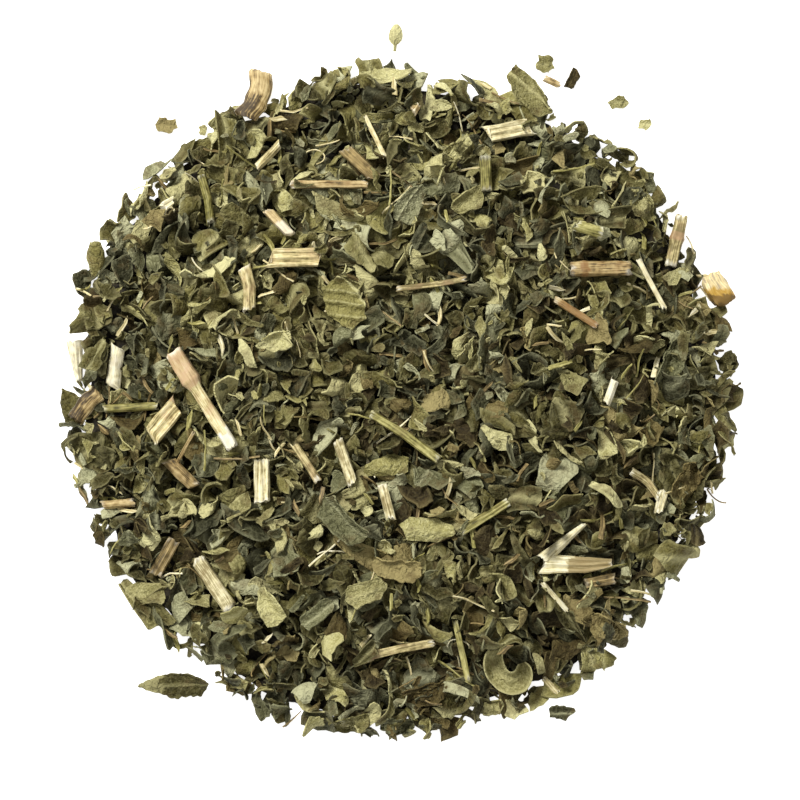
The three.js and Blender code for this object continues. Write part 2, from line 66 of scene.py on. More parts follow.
# ---------------------------------------------------------------- white tabletop, soft lamp and camera
# The heap was poured on a white sheet and is seen from straight above. One large soft lamp stands at the
# upper left of the view, and the white room round it fills the shadows.
MM = 0.001
VIEW_WIDTH = 116 * MM
VIEW_CENTRE = Vector((0.3 * MM, 0, 0))
LENS_MM = 150
SHEET_HALF_WIDTH = 0.9
PAPER_WHITE = "#f6f6f7"
PAPER_GLOW = 0.8  # the sheet is lit from below, as on a light table, which clears its shadows away
ROOM_STRENGTH = 0.492
LAMP_PLACE = Vector((-0.26, 0.34, 0.52))
LAMP_SIZE = 0.22
LAMP_WATTS = 5.93


def linear(colour):
    """An sRGB hex colour as the linear values that shaders take."""
    parts = [int(colour[k : k + 2], 16) / 255 for k in (1, 3, 5)]
    return (*[c / 12.92 if c <= 0.04045 else ((c + 0.055) / 1.055) ** 2.4 for c in parts], 1)


def add_node(tree, kind, sockets=None, stops=(), **settings):
    """Adds a node with its settings, its sockets' values or links, and a colour ramp's stops.

    A socket that is given a whole node is linked to that node's first output.
    """
    node = tree.nodes.new("ShaderNode" + kind)
    for name, value in settings.items():
        setattr(node, name, value)
    for name, value in (sockets or {}).items():
        if isinstance(value, bpy.types.Node):
            value = value.outputs[0]
        if isinstance(value, bpy.types.NodeSocket):
            tree.links.new(value, node.inputs[name])
        else:
            node.inputs[name].default_value = value
    for k, (position, colour) in enumerate(stops):
        elements = node.color_ramp.elements
        element = elements[k] if k < 2 else elements.new(position)  # a new ramp has two of its own
        element.position = position
        element.color = linear(colour)
    return node


def new_material(name):
    """An empty node material, with its tree and its output."""
    material = bpy.data.materials.new(name)
    material.use_nodes = True
    tree = material.node_tree
    tree.nodes.clear()
    return material, tree, add_node(tree, "OutputMaterial")


def keep_mesh(bm, name, material):
    """Closes a bmesh into an object that sits at the origin."""
    mesh = bpy.data.meshes.new(name)
    bm.to_mesh(mesh)
    bm.free()
    mesh.materials.append(material)
    thing = bpy.data.objects.new(name, mesh)
    bpy.context.scene.collection.objects.link(thing)
    return thing


sheet_paper, tree, output = new_material("matt_white_paper")
paper = add_node(
    tree,
    "BsdfPrincipled",
    {
        "Base Color": linear(PAPER_WHITE),
        "Roughness": 0.9,
        "Emission Color": (1, 1, 1, 1),
        "Emission Strength": PAPER_GLOW,
    },
)
tree.links.new(paper.outputs["BSDF"], output.inputs["Surface"])
bm = bmesh.new()
bmesh.ops.create_grid(bm, x_segments=2, y_segments=2, size=SHEET_HALF_WIDTH)
keep_mesh(bm, "white_sheet", sheet_paper)

room = bpy.data.worlds.new("white_room")
bpy.context.scene.world = room
room.use_nodes = True
room_light = room.node_tree.nodes["Background"].inputs
room_light["Color"].default_value = (1, 1, 1, 1)
room_light["Strength"].default_value = ROOM_STRENGTH

lamp_data = bpy.data.lights.new("soft_lamp", "AREA")
lamp_data.shape = "DISK"
lamp_data.size = LAMP_SIZE
lamp_data.energy = LAMP_WATTS
lamp = bpy.data.objects.new("soft_lamp", lamp_data)
lamp.location = LAMP_PLACE
lamp.rotation_euler = (-LAMP_PLACE).to_track_quat("-Z", "Y").to_euler()
bpy.context.scene.collection.objects.link(lamp)

camera_data = bpy.data.cameras.new("camera")
camera_data.lens = LENS_MM
camera_data.clip_start = 0.01
camera = bpy.data.objects.new("camera", camera_data)
camera.location = VIEW_CENTRE + Vector((0, 0, LENS_MM / camera_data.sensor_width * VIEW_WIDTH))
bpy.context.scene.collection.objects.link(camera)
bpy.context.scene.camera = camera
bpy.context.scene.view_settings.view_transform = "Standard"

# ---------------------------------------------------------------- how high the heap may be
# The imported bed's solid says how high the leaf stands at each place, and the stems and larger leaves that
# lie in it leave the bed no more than the room beneath them. Both are kept as heights on a square of
# small cells.
HEAP_RADIUS = 49.0 * MM
RIM_WAVER = 0.4 * MM
RIM_WAVES = [(3, 0.6), (7, 2.1), (12, 0)]  # how many waves go round the rim, and where they start
EDGE_HEIGHT = 1.2 * MM
CLEARANCE = 0.1 * MM  # between the leaf and what lies in it
CELL = 0.4 * MM
REACH = 56 * MM
CELLS = int(2 * REACH / CELL)
PLUMB_START = 50 * MM  # plumb lines start this far above or below the table
EVEN_OUT = 6  # cells over which the solid's coarse flakes are evened out
LEAST_SOLID = 0.3  # where less than this share of the cells is solid, the leaf thins out
LOOSE_DEPTH = 4.6 * MM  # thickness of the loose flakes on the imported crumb

LYING = [name for name in nodes if name.startswith(("stem_", "leaf_blade", "leaf_curled"))]
LOOSE = [name for name in nodes if name.startswith(("crumb_", "flower_bud"))]
AT_RIM = ["leaf_blade_11", "leaf_blade_13", "leaf_blade_14"]  # these lie over the flakes of the rim
trees = {
    name: BVHTree.FromPolygons([v.co for v in o.data.vertices], [p.vertices for p in o.data.polygons])
    for name, o in nodes.items()
}
middles = (np.arange(CELLS) + 0.5) * CELL - REACH


def cell_of(place):
    """The cells that hold these places, kept inside the square."""
    return np.clip(((np.asarray(place) + REACH) / CELL).astype(int), 0, CELLS - 1)


def struck(name, downwards):
    """Heights at which a plumb line through each cell first meets a node, and nan where it misses."""
    low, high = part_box(name)
    heights = np.full((CELLS, CELLS), np.nan)
    start, way = (PLUMB_START, Vector((0, 0, -1))) if downwards else (-PLUMB_START, Vector((0, 0, 1)))
    columns, rows = [range(*(cell_of(np.array([low[k], high[k]])) + [0, 1])) for k in (0, 1)]
    for i in columns:
        for j in rows:
            hit = trees[name].ray_cast(Vector((middles[i], middles[j], start)), way)[0]
            if hit:
                heights[i, j] = hit.z
    return heights


def evened(field, cells):
    """A moving average of a field along both ways of the square."""
    kernel = np.ones(2 * cells + 1) / (2 * cells + 1)
    for axis in (0, 1):
        field = np.apply_along_axis(np.convolve, axis, field, kernel, mode="same")
    return field


solid_top = np.nan_to_num(struck("leaf_bed", True))
x, y = np.meshgrid(middles, middles, indexing="ij")
angle = np.arctan2(y, x)
rim_radius = HEAP_RADIUS + RIM_WAVER * sum(np.sin(waves * angle + start) for waves, start in RIM_WAVES)
inwards = rim_radius - np.hypot(x, y)  # how far each cell lies inside the rim
covered = inwards > 0
solid_share = evened((solid_top > 0).astype(float), EVEN_OUT)
target = evened(solid_top, EVEN_OUT) / np.clip(solid_share, LEAST_SOLID, 1)
ceiling = np.full((CELLS, CELLS), np.inf)
for name in LYING + LOOSE:
    if name not in AT_RIM:
        ceiling = np.fmin(ceiling, struck(name, False))
target = np.minimum(target, ceiling - CLEARANCE)
target = np.where(covered, np.clip(target, np.minimum(EDGE_HEIGHT, inwards), None), 0)

# ---------------------------------------------------------------- packed crumb under the flakes
# Broken leaf too fine to tell apart fills the heap from below. Its near-black colour is painted shade of
# the heap's depths, and it shows only through the gaps between flakes. Its underside is of flakes pressed
# flat on the table, with painted shade in the gaps between them.
CRUMB_RIM_INSET = 3.5 * MM
CRUMB_EDGE = 0.5 * MM  # height of its edge
CRUMB_BOTTOM = 0.05 * MM
CRUMB_EVEN_OUT = 5
CRUMB_PULLED_IN = 1.2 * MM  # points as far as this outside its edge are drawn in to it
CRUMB_CELLS = 110
# near-black tones: painted shade of the heap's depths, laid on the crumb
CRUMB_DUST_AND_SHADE = ("#13100a", "#2a2414", "#453b22")
DUST_GRAIN = 0.7 * MM
SCRAP_WIDTH = 1.1 * MM
PRESSED_FLAKES = ("#2b2713", "#48432a", "#68633f")
PRESSED_WIDTH = 3.4 * MM
PRESSED_BELOW = 0.1 * MM  # only the underside lies lower than this

# The crumb is rough and takes no shine, and its near-black tones are painted shade. Its grain is drawn
# coarser than it is, so that it shows.
crumb_leaf, tree, output = new_material("packed_mint_dust")
place = add_node(tree, "TexCoord").outputs["Object"]
grain = add_node(tree, "TexNoise", {"Vector": place, "Scale": 1 / DUST_GRAIN, "Detail": 4})
dust_and_shade = add_node(tree, "ValToRGB", {"Fac": grain}, stops=zip((0.3, 0.55, 0.75), CRUMB_DUST_AND_SHADE))
edges = add_node(tree, "TexNoise", {"Vector": place, "Scale": 1 / (2 * MM), "Detail": 3})
sway = add_node(tree, "VectorMath", {0: edges.outputs["Color"], "Scale": 1.6 * MM}, operation="SCALE")
sway = add_node(tree, "VectorMath", {0: place, 1: sway}, operation="ADD")
flat_flakes = {"Vector": sway, "Scale": 1 / PRESSED_WIDTH}
pressed = add_node(tree, "TexVoronoi", flat_flakes).outputs["Color"]
pressed = add_node(tree, "ValToRGB", {"Fac": pressed}, stops=zip((0.25, 0.5, 0.8), PRESSED_FLAKES))
# the lines between the pressed flakes are painted near black, as painted shade in the gaps between them
gaps = add_node(tree, "TexVoronoi", flat_flakes, feature="DISTANCE_TO_EDGE")
gaps = add_node(tree, "MapRange", {"Value": gaps, "From Max": 0.12, "To Min": 0.1})
flecks_and_gap_shade = add_node(tree, "Math", {0: grain, 1: 1.4}, operation="MULTIPLY")
flecks_and_gap_shade = add_node(tree, "Math", {0: flecks_and_gap_shade, 1: gaps}, operation="MULTIPLY")
pressed = add_node(
    tree, "Mix", {"Factor": flecks_and_gap_shade, "A": linear(CRUMB_DUST_AND_SHADE[0]), "B": pressed}, data_type="RGBA"
).outputs[2]
level = add_node(tree, "SeparateXYZ", {"Vector": place}).outputs["Z"]
underneath = add_node(tree, "Math", {0: level, 1: PRESSED_BELOW}, operation="LESS_THAN")
leafy = add_node(tree, "Mix", {"Factor": underneath, "A": dust_and_shade, "B": pressed}, data_type="RGBA").outputs[2]
scraps = add_node(tree, "TexVoronoi", {"Vector": place, "Scale": 1 / SCRAP_WIDTH})
relief = add_node(tree, "Bump", {"Height": scraps, "Strength": 1.0, "Distance": 0.8 * MM})
dust = add_node(tree, "BsdfPrincipled", {"Base Color": leafy, "Roughness": 0.95, "Normal": relief})
tree.links.new(dust.outputs["BSDF"], output.inputs["Surface"])


def stand_in(piece, node, slot):
    """Puts a piece on the body, in the place of a node of the frame or of a part of it, and hides that node.
    The slot is not used.
    """
    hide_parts(node)
    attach(piece, "root")


packed = np.clip(evened(target, CRUMB_EVEN_OUT) - LOOSE_DEPTH, 0, None)
packed = np.where(inwards > CRUMB_RIM_INSET, packed + CRUMB_EDGE, 0)

bm = bmesh.new()
bmesh.ops.create_grid(bm, x_segments=CRUMB_CELLS, y_segments=CRUMB_CELLS, size=REACH)
outside = []
for vert in bm.verts:
    i, j = cell_of(np.array([vert.co.x, vert.co.y]))
    beyond = CRUMB_RIM_INSET - inwards[i, j]
    if beyond > CRUMB_PULLED_IN:
        outside.append(vert)
    elif beyond > 0:
        vert.co *= 1 - beyond / vert.co.length
        i, j = cell_of(np.array([vert.co.x, vert.co.y]) * 0.98)
    vert.co.z = packed[i, j] * (1 + 0.25 * noise.noise(vert.co / (1.5 * MM)))
bmesh.ops.delete(bm, geom=outside, context="VERTS")
bmesh.ops.dissolve_degenerate(bm, edges=bm.edges[:], dist=0.1 * MM)
grown = bmesh.ops.extrude_face_region(bm, geom=bm.faces[:], use_keep_orig=True)["geom"]
for element in grown:
    if isinstance(element, bmesh.types.BMVert):
        element.co.z = CRUMB_BOTTOM
bmesh.ops.recalc_face_normals(bm, faces=bm.faces[:])
stand_in(keep_mesh(bm, "packed_crumb", crumb_leaf), "leaf_bed", "packed_leaf")

# ---------------------------------------------------------------- dried mint leaf
# Mint leaf dries to a dull olive blade about a sixth of a millimetre thick, felted with fine hairs, with
# a paler net of veins that stands proud underneath. Torn edges are paler than the face, partly in their own
# colour and partly as a painted highlight along the edge.
BLADE = 0.17 * MM
DRAW_TURNS = 7.31  # a flake's random number is spread over the shades this many times
SHADE_POWER = 2.2  # most flakes are dull, and a few are pale
STALE_BROWN = "#564729"  # patches where the leaf has browned
CLOUDS_PER_MM, WRINKLES_PER_MM, VEINS_PER_MM, GRAINS_PER_MM, PATCHES_PER_MM = 0.55, 1.3, 1.0, 4.5, 0.4
LEAF_TONES = {
    "grey_green": ("#1b1a0c", "#3c3b25", "#686746", "#afad86"),
    "olive": ("#1e1a0a", "#45401e", "#767043", "#bab37f"),
    "yellow_green": ("#332e12", "#645d31", "#948d55", "#c8c28d"),
    "brown": ("#181308", "#362d17", "#5b4f2b", "#96895a"),
}
FELTED = {"Roughness": 0.75, "IOR": 1.45, "Specular IOR Level": 0.18}
PATTERN_SHIFT = (61, 17, 43)  # in mm, so that no two flakes show the same part of a pattern


def leaf_material(name, tones):
    """Matt, felted leaf. Its patterns follow the flat blade in mm, and each flake draws its own shade."""
    material, tree, output = new_material(name)
    flat = add_node(tree, "UVMap", uv_map="blade")
    draw, rim, rib = [
        add_node(tree, "Attribute", attribute_name=layer).outputs["Fac"] for layer in ("draw", "rim", "rib")
    ]
    apart = add_node(tree, "VectorMath", {0: PATTERN_SHIFT, "Scale": draw}, operation="SCALE")
    where = add_node(tree, "VectorMath", {0: flat, 1: apart}, operation="ADD")
    cloud = add_node(tree, "TexNoise", {"Vector": where, "Scale": CLOUDS_PER_MM, "Detail": 3})
    grain = {"Vector": where, "Scale": GRAINS_PER_MM, "Detail": 3, "Roughness": 0.65}
    grain = add_node(tree, "TexNoise", grain)
    wrinkle = {"Vector": where, "Scale": WRINKLES_PER_MM, "Detail": 2, "Roughness": 0.55, "Distortion": 0.6}
    wrinkle = add_node(tree, "TexNoise", wrinkle)
    sway = add_node(tree, "VectorMath", {0: grain.outputs["Color"], "Scale": 0.35}, operation="SCALE")
    sway = add_node(tree, "VectorMath", {0: where, 1: sway}, operation="ADD")
    net = add_node(tree, "TexVoronoi", {"Vector": sway, "Scale": VEINS_PER_MM}, feature="DISTANCE_TO_EDGE")
    # shade of the whole flake, then its clouds, then its grain
    level = add_node(tree, "Math", {0: draw, 1: DRAW_TURNS}, operation="MULTIPLY")
    level = add_node(tree, "Math", {0: level}, operation="FRACT")
    level = add_node(tree, "Math", {0: level, 1: SHADE_POWER}, operation="POWER")
    level = add_node(tree, "Math", {0: level, 1: 0.95, 2: -0.02}, operation="MULTIPLY_ADD")
    level = add_node(tree, "Math", {0: cloud, 1: 0.42, 2: level}, operation="MULTIPLY_ADD")
    level = add_node(tree, "Math", {0: grain, 1: 0.8, 2: level}, operation="MULTIPLY_ADD")
    level = add_node(tree, "Math", {0: level, 1: 0.39}, operation="SUBTRACT")
    shade = add_node(tree, "ValToRGB", {"Fac": level}, stops=zip((0.0, 0.35, 0.68, 1.0), tones))
    # veins and ribs are pale, torn rims are pale partly in their own colour and partly as a painted
    # highlight, and some patches have browned
    vein = add_node(tree, "MapRange", {"Value": net, "From Max": 0.1, "To Min": 0.1, "To Max": 0.0})
    # torn rims: partly their own paler colour, partly a painted highlight along the edge
    torn = add_node(tree, "Math", {0: rim, 1: cloud}, operation="MULTIPLY")
    torn = add_node(tree, "Math", {0: torn, 1: 0.5}, operation="MULTIPLY")
    pale = add_node(tree, "Math", {0: vein, 1: torn}, operation="MAXIMUM")
    pale = add_node(tree, "Math", {0: rib, 1: 0.65, 2: pale}, operation="MULTIPLY_ADD")
    stale = {"Vector": where, "Scale": PATCHES_PER_MM, "Detail": 3, "Roughness": 0.6}
    stale = add_node(tree, "TexNoise", stale)
    stale = add_node(tree, "MapRange", {"Value": stale, "From Min": 0.5, "From Max": 0.66, "To Max": 0.6})
    browned = {"Factor": stale, "A": shade, "B": linear(STALE_BROWN)}
    browned = add_node(tree, "Mix", browned, data_type="RGBA").outputs[2]
    colour = {"Factor": pale, "A": browned, "B": linear(tones[3])}
    colour = add_node(tree, "Mix", colour, data_type="RGBA").outputs[2]
    # the blade swells between its veins and is wrinkled all over
    relief = add_node(tree, "MapRange", {"Value": net, "From Max": 0.3, "To Max": 0.4})
    relief = add_node(tree, "Math", {0: grain, 1: 0.9, 2: relief}, operation="MULTIPLY_ADD")
    relief = add_node(tree, "Math", {0: wrinkle, 1: 6.0, 2: relief}, operation="MULTIPLY_ADD")
    relief = add_node(tree, "Bump", {"Height": relief, "Strength": 0.8, "Distance": 0.16 * MM})
    felt = {"Base Color": colour, "Normal": relief, **FELTED}
    felt = add_node(tree, "BsdfPrincipled", felt)
    tree.links.new(felt.outputs["BSDF"], output.inputs["Surface"])
    return material


leaf_finishes = {tone: leaf_material(f"dried_mint_leaf_{tone}", tones) for tone, tones in LEAF_TONES.items()}

# ---------------------------------------------------------------- torn flakes
# The cutter and the sieve leave flakes about 2 to 8 mm long with torn sides. Drying creases, cups and
# rolls them. About a hundred are modelled here, and each is laid many times over.
FOLD_SOFTNESS = 0.35 * MM
RIB_RIPPLE = 0.13 * MM

random = np.random.default_rng(20)
noise.seed_set(5)  # vector noise takes its offsets from this


def new_piece(*layers):
    """An empty bmesh with the flat blade's UV map, and the layers of values that a finish reads."""
    bm = bmesh.new()
    bm.loops.layers.uv.new("blade")
    return bm, *[bm.verts.layers.float.new(layer) for layer in layers]


def map_flat(bm, verts, place_of):
    """Writes where each point lies on the flat blade, in mm, which the patterns of its finish follow."""
    blade = bm.loops.layers.uv["blade"]
    for vert in verts:
        for loop in vert.link_loops:
            loop[blade].uv = place_of(vert.co)


def pointing(angle):
    """A level step in one heading."""
    return Vector((math.cos(angle), math.sin(angle), 0))


def tear_off(bm, length, width, angle, share):
    """Tears a flat blade along a line square to a heading, at a share of its own reach that way."""
    way = pointing(angle)
    reach = math.hypot(way.x * length, way.y * width) / 2 * share
    everything = bm.verts[:] + bm.edges[:] + bm.faces[:]
    bmesh.ops.bisect_plane(bm, geom=everything, plane_co=way * reach, plane_no=way, clear_outer=True)


def crease(bm, flat, place, turn, angle):
    """Folds what lies beyond a straight line on the flat blade up or down about that line."""
    line = pointing(turn)
    beyond = Vector((-line.y, line.x, 0))
    for vert in bm.verts:
        distance = (flat[vert] - place).dot(beyond)
        if distance > 0:
            bend = angle * min(1, distance / FOLD_SOFTNESS)
            vert.co = place + Matrix.Rotation(bend, 3, line) @ (vert.co - place)


def roll_up(bm, radius, turn):
    """Rolls a blade about a slanted line, as it curls when it dries."""
    along = pointing(turn)
    across = Vector((-along.y, along.x, 0))
    for vert in bm.verts:
        angle = vert.co.dot(along) / radius
        arm = radius - vert.co.z
        vert.co = across * vert.co.dot(across) + along * arm * math.sin(angle)
        vert.co.z = radius - arm * math.cos(angle)


def crumple_up(bm, depth, wavelength, offset):
    """Moves a blade's surface about by smooth noise."""
    for vert in bm.verts:
        vert.co += depth * noise.noise_vector(vert.co / wavelength + offset)


def ease(bm, flat, rounds=14):
    """Draws stretched edges back to little more than their length on the flat blade."""
    lengths = []
    for edge in bm.edges:
        near, far = edge.verts
        lengths.append((near, far, 1.1 * (flat[near] - flat[far]).length))
    for _ in range(rounds):
        for near, far, length in lengths:
            span = far.co - near.co
            over = span.length - length
            if over > 0:
                pull = 0.5 * over * span.normalized()
                near.co += pull
                far.co -= pull


def shade_smooth(bm, sharpest):
    """Shades faces smooth, and keeps each edge sharp that turns by more than so many degrees."""
    for face in bm.faces:
        face.smooth = True
    for edge in bm.edges:
        edge.smooth = edge.calc_face_angle(0) < math.radians(sharpest)


def thicken(bm, thickness):
    """Gives a bent sheet its thickness and keeps its rim sharp. A sharp fold's second side is drawn back."""
    sheet = KDTree(len(bm.verts))
    for k, vert in enumerate(bm.verts):
        sheet.insert(vert.co, k)
    sheet.balance()
    bmesh.ops.solidify(bm, geom=bm.faces[:], thickness=thickness)
    for vert in bm.verts:
        nearest, _, away = sheet.find(vert.co)
        if away > 1.6 * thickness:
            vert.co = nearest + (vert.co - nearest) * thickness / away
    shade_smooth(bm, 50)


def torn_flake(seed, length, width, sides, cells, creases, sharpness, roll, crumple, ripple=0):
    """One flake: a blade torn along a few lines, folded lengthwise, then creased, rolled and crumpled."""
    draw = np.random.default_rng(seed)
    offset = Vector(draw.uniform(-50, 50, 3))
    small = min(length, width)
    bm, rim, rib = new_piece("rim", "rib")
    bmesh.ops.create_grid(bm, x_segments=cells[0], y_segments=cells[1], size=0.5)
    bmesh.ops.scale(bm, vec=(length, width, 1), verts=bm.verts)
    for k in range(sides):
        angle = 2 * math.pi * (k + draw.uniform(0, 0.9)) / sides
        tear_off(bm, length, width, angle, draw.uniform(0.55, 1.0))
    bmesh.ops.remove_doubles(bm, verts=bm.verts, dist=0.06 * small)
    for vert in bm.verts:
        vert[rim] = vert.is_boundary
        ragged = 0.07 + 0.06 * vert.is_boundary
        vert.co.xy += ragged * small * noise.noise_vector(vert.co / (0.36 * small) + offset).xy
    map_flat(bm, bm.verts, lambda co: co.xy / MM)
    flat = {vert: vert.co.copy() for vert in bm.verts}
    dome = draw.uniform(2.5, 6.0) * MM * draw.choice((-1, 1))
    for vert in bm.verts:
        x, y = vert.co.xy
        vert.co.z += (x**2 + y**2) / (2 * dome)
        if ripple:
            vert.co.z += ripple * math.sin(2 * math.pi * (x + 0.8 * abs(y)) / (1.35 * MM)) + 0.35 * abs(y)
            vert[rib] = 0.8 * math.exp(-((y / (0.3 * MM)) ** 2))
    for k in range(creases):
        place = Vector((draw.uniform(-0.3, 0.3) * length, draw.uniform(-0.25, 0.25) * width, 0))
        turn = draw.normal(0, 0.3) if k == 0 else draw.uniform(0, 2 * math.pi)
        angle = math.radians(draw.uniform(*sharpness)) * draw.choice((-1, 1))
        crease(bm, flat, place, turn, angle)
    roll_up(bm, draw.uniform(*roll) * MM * draw.choice((-1, 1)), draw.uniform(0, math.pi))
    crumple_up(bm, crumple * MM, 2.2 * MM, offset)
    crumple_up(bm, 0.4 * crumple * MM, 0.8 * MM, offset)
    ease(bm, flat)
    bmesh.ops.dissolve_degenerate(bm, edges=bm.edges[:], dist=0.2 * BLADE)
    bmesh.ops.recalc_face_normals(bm, faces=bm.faces[:])
    thicken(bm, BLADE)
    mesh = bpy.data.meshes.new(f"torn_flake_{seed:02d}")
    bm.to_mesh(mesh)
    bm.free()
    return mesh


# how many are modelled, length and width in mm, torn sides, cells, creases and their sharpness in
# degrees, radius of the roll and crumple in mm
FLAKE_KINDS = {
    "under": (10, (4.8, 7.4), (2.6, 4.0), 5, (5, 4), 1, (20, 70), (2.2, 5.0), 0.5),
    "crumpled": (26, (4.0, 7.2), (2.0, 3.8), 6, (9, 6), 3, (25, 90), (1.5, 4.0), 0.5),
    "rolled": (16, (4.2, 7.6), (2.2, 3.6), 5, (11, 5), 1, (15, 50), (0.8, 1.5), 0.45),
    "ribbed": (10, (5.0, 8.0), (3.0, 4.6), 6, (10, 6), 2, (15, 60), (2.0, 5.0), 0.4),
    "strip": (12, (4.2, 8.4), (0.8, 1.7), 5, (10, 2), 2, (20, 70), (1.5, 4.0), 0.5),
    "fine": (10, (1.6, 3.2), (0.8, 1.5), 5, (5, 3), 1, (20, 90), (0.8, 2.5), 0.35),
    "thread": (10, (3.0, 7.0), (0.2, 0.34), 0, (10, 1), 1, (5, 25), (4.0, 14.0), 0.22),
    "chip": (8, (1.8, 4.2), (0.4, 0.85), 3, (5, 2), 1, (5, 30), (3.0, 9.0), 0.15),
}


class Flake:
    """A modelled flake with sample points over its surface, from which its rest is worked out."""

    def __init__(self, mesh):
        self.mesh = mesh
        points = np.array([v.co for v in mesh.vertices] + [p.center for p in mesh.polygons])
        middle = points.mean(0)
        mesh.transform(Matrix.Translation(-Vector(middle)))
        self.points = points - middle
        self.radius = np.abs(self.points[:, :2]).max()


flakes = {}
seed = 0
for kind, (count, lengths, widths, sides, cells, creases, sharpness, roll, crumple) in FLAKE_KINDS.items():
    flakes[kind] = []
    for k in range(count):
        seed += 1
        length, width = random.uniform(*lengths) * MM, random.uniform(*widths) * MM
        ripple = RIB_RIPPLE if kind == "ribbed" else 0
        sides_now = max(0, sides - k % 2)
        mesh = torn_flake(seed, length, width, sides_now, cells, creases, sharpness, roll, crumple, ripple)
        flakes[kind].append(Flake(mesh))

# ---------------------------------------------------------------- flakes laid in a heap
# Flakes fall where the heap is still low, turn to lie along what is under them, and come to rest when
# about a fifth of their surface has nested in. Only a few lie over an end or an edge of a stem or a
# larger leaf.
STEEPEST = 0.75  # slope that a flake lies along, at most
NESTING = 0.8  # share of a flake that lies clear when it rests
TOP, BOTTOM = cad_box[1][2] + 0.15 * MM, 0.02 * MM
RIM_MARGIN = 0.9 * MM
RIM_OVERHANG = 0.7 * MM
COVERING = 0.015  # share of a flake that may pass over the edge of a stem or a larger leaf
OVERLAP = 0.15 * MM  # how far it may rise above that edge
LOWEST = 0.04 * MM
BARE = 0.3 * MM  # the crumb lies bare under less leaf than this
FELL_OFF, FELL_OFF_REACH = Vector((-15.4, 45.6)) * MM, 1.3 * MM  # where a flake at the rim has fallen off

height = packed.copy()
room_inside = inwards > RIM_MARGIN
ring = np.array([(math.cos(a), math.sin(a)) for a in np.arange(8) * math.pi / 4])
laid = []


def lay_flake(flake, scale, place, lean, nesting=NESTING):
    """Sets a flake down at a place and returns its matrix, or None where it would cover a stem or a leaf."""
    reach = max(flake.radius * scale * 0.6, 1.0 * MM)
    around = place + ring * reach
    levels = height[cell_of(around[:, 0]), cell_of(around[:, 1])]
    slope = (levels[:, None] * ring).sum(0) / (4 * reach)
    slope *= min(1, STEEPEST / (np.hypot(*slope) + 1e-9))
    lies = Vector((0, 0, 1)).rotation_difference(Vector((-slope[0], -slope[1], 1)))
    leans = Matrix.Rotation(lean, 4, Vector((*random.normal(size=2), 0)).normalized())
    turn = lies.to_matrix().to_4x4() @ leans @ Matrix.Rotation(random.uniform(0, 2 * math.pi), 4, "Z")
    points = flake.points * scale @ np.array(turn.to_3x3()).T
    i, j = cell_of(points[:, 0] + place[0]), cell_of(points[:, 1] + place[1])
    rest = max(np.quantile(height[i, j] - points[:, 2], nesting), LOWEST - points[:, 2].min())
    levels = points[:, 2] + rest
    covering = (levels > ceiling[i, j] + OVERLAP).mean()
    if covering > COVERING or levels.max() > TOP or inwards[i, j].min() < -RIM_OVERHANG:
        return None
    np.maximum.at(height, (i, j), levels)
    return Matrix.Translation((*place, rest)) @ turn @ Matrix.Scale(scale, 4)


def pour(count, kinds, shares, scales, lean_degrees, over, keenness=1.5):
    """Lays a number of flakes where the heap is furthest below its form, or a little over it."""
    tried = poured = 0
    while poured < count and tried < 4 * count:
        room = (np.clip(target + over * MM - height, 0, None) / MM) ** keenness * room_inside
        chances = room.ravel() / room.sum()
        for cell in random.choice(room.size, 60, p=chances):
            tried += 1
            flake = flakes[random.choice(kinds, p=shares)]
            flake = flake[random.integers(len(flake))]
            scale = random.uniform(*scales)
            middle = np.array([middles[cell // CELLS], middles[cell % CELLS]])
            place = middle + random.uniform(-0.5, 0.5, 2) * CELL
            matrix = lay_flake(flake, scale, place, math.radians(random.normal(0, lean_degrees)))
            if matrix:
                laid.append((flake, matrix))
                poured += 1


TOP_KINDS, TOP_SHARES = ["crumpled", "rolled", "ribbed", "strip"], [0.46, 0.22, 0.17, 0.15]
pour(1000, ["under"], [1], (0.9, 1.3), 16, 0.2)
pour(620, TOP_KINDS, TOP_SHARES, (1.05, 1.45), 28, 0.8)
pour(880, TOP_KINDS, TOP_SHARES, (0.8, 1.3), 34, 1.1)
pour(400, ["fine", "strip"], [0.7, 0.3], (0.6, 1.2), 40, 1.1)
pour(190, ["thread", "chip"], [0.5, 0.5], (0.7, 1.1), 22, 1.3)
room_inside = room_inside & (packed > 0) & (height - packed < BARE)
pour(260, ["under", "crumpled", "fine"], [0.4, 0.3, 0.3], (0.5, 0.9), 25, 3.0, keenness=0.5)
laid = [fall for fall in laid if (fall[1].translation.xy - FELL_OFF).length > FELL_OFF_REACH]
laid_level = evened(height, 1)

# single flakes that fell across an end or an edge of what lies in the heap, in mm
OVERLAID = [
    (-10.9, 21.4), (-21.0, 13.0), (18.9, 39.6), (-15.6, -5.2), (9.2, -18.2), (-4.8, -36.6), (-13.5, 30.6),
    (-3.0, 31.2), (-33.8, -8.4), (5.6, -8.8), (-14.2, -29.0), (-23.4, -30.6), (-12.6, -19.6), (1.2, 31.8),
    (-38.6, -20.0), (9.4, -32.0), (-7.9, -28.8), (-43.7, 6.2), (-44.6, 3.2),
]
OVERLAID_LEAN = 0.15
for name in LYING:
    height = np.fmax(height, struck(name, True))
ceiling[:] = np.inf
for k, place in enumerate(OVERLAID):
    flake = flakes[("crumpled", "strip", "ribbed")[k % 3]][k % 10]
    matrix = lay_flake(flake, 0.7 + 0.1 * (k % 4), np.array(place) * MM, OVERLAID_LEAN, nesting=0.97)
    if matrix:
        laid.append((flake, matrix))

# ---------------------------------------------------------------- cut stems
# Mint stems are square with four ridges, woody with fine fibres outside and pale pith inside. The cutter
# leaves whole lengths, halves split along the pith, splinters, and curled bark, with paler fresh ends.
FIBRE_STEP = 0.3 * MM  # length of stem between rows of points
STEM_AROUND = 28
FIBRE_RELIEF = 0.05 * MM
STEM_LAYERS = ("cut", "stain", "tone")
FIBRES_ALONG_MM, FIBRES_ACROSS_MM, BLOTCHES_PER_MM = 0.28, 4.2, 1.1
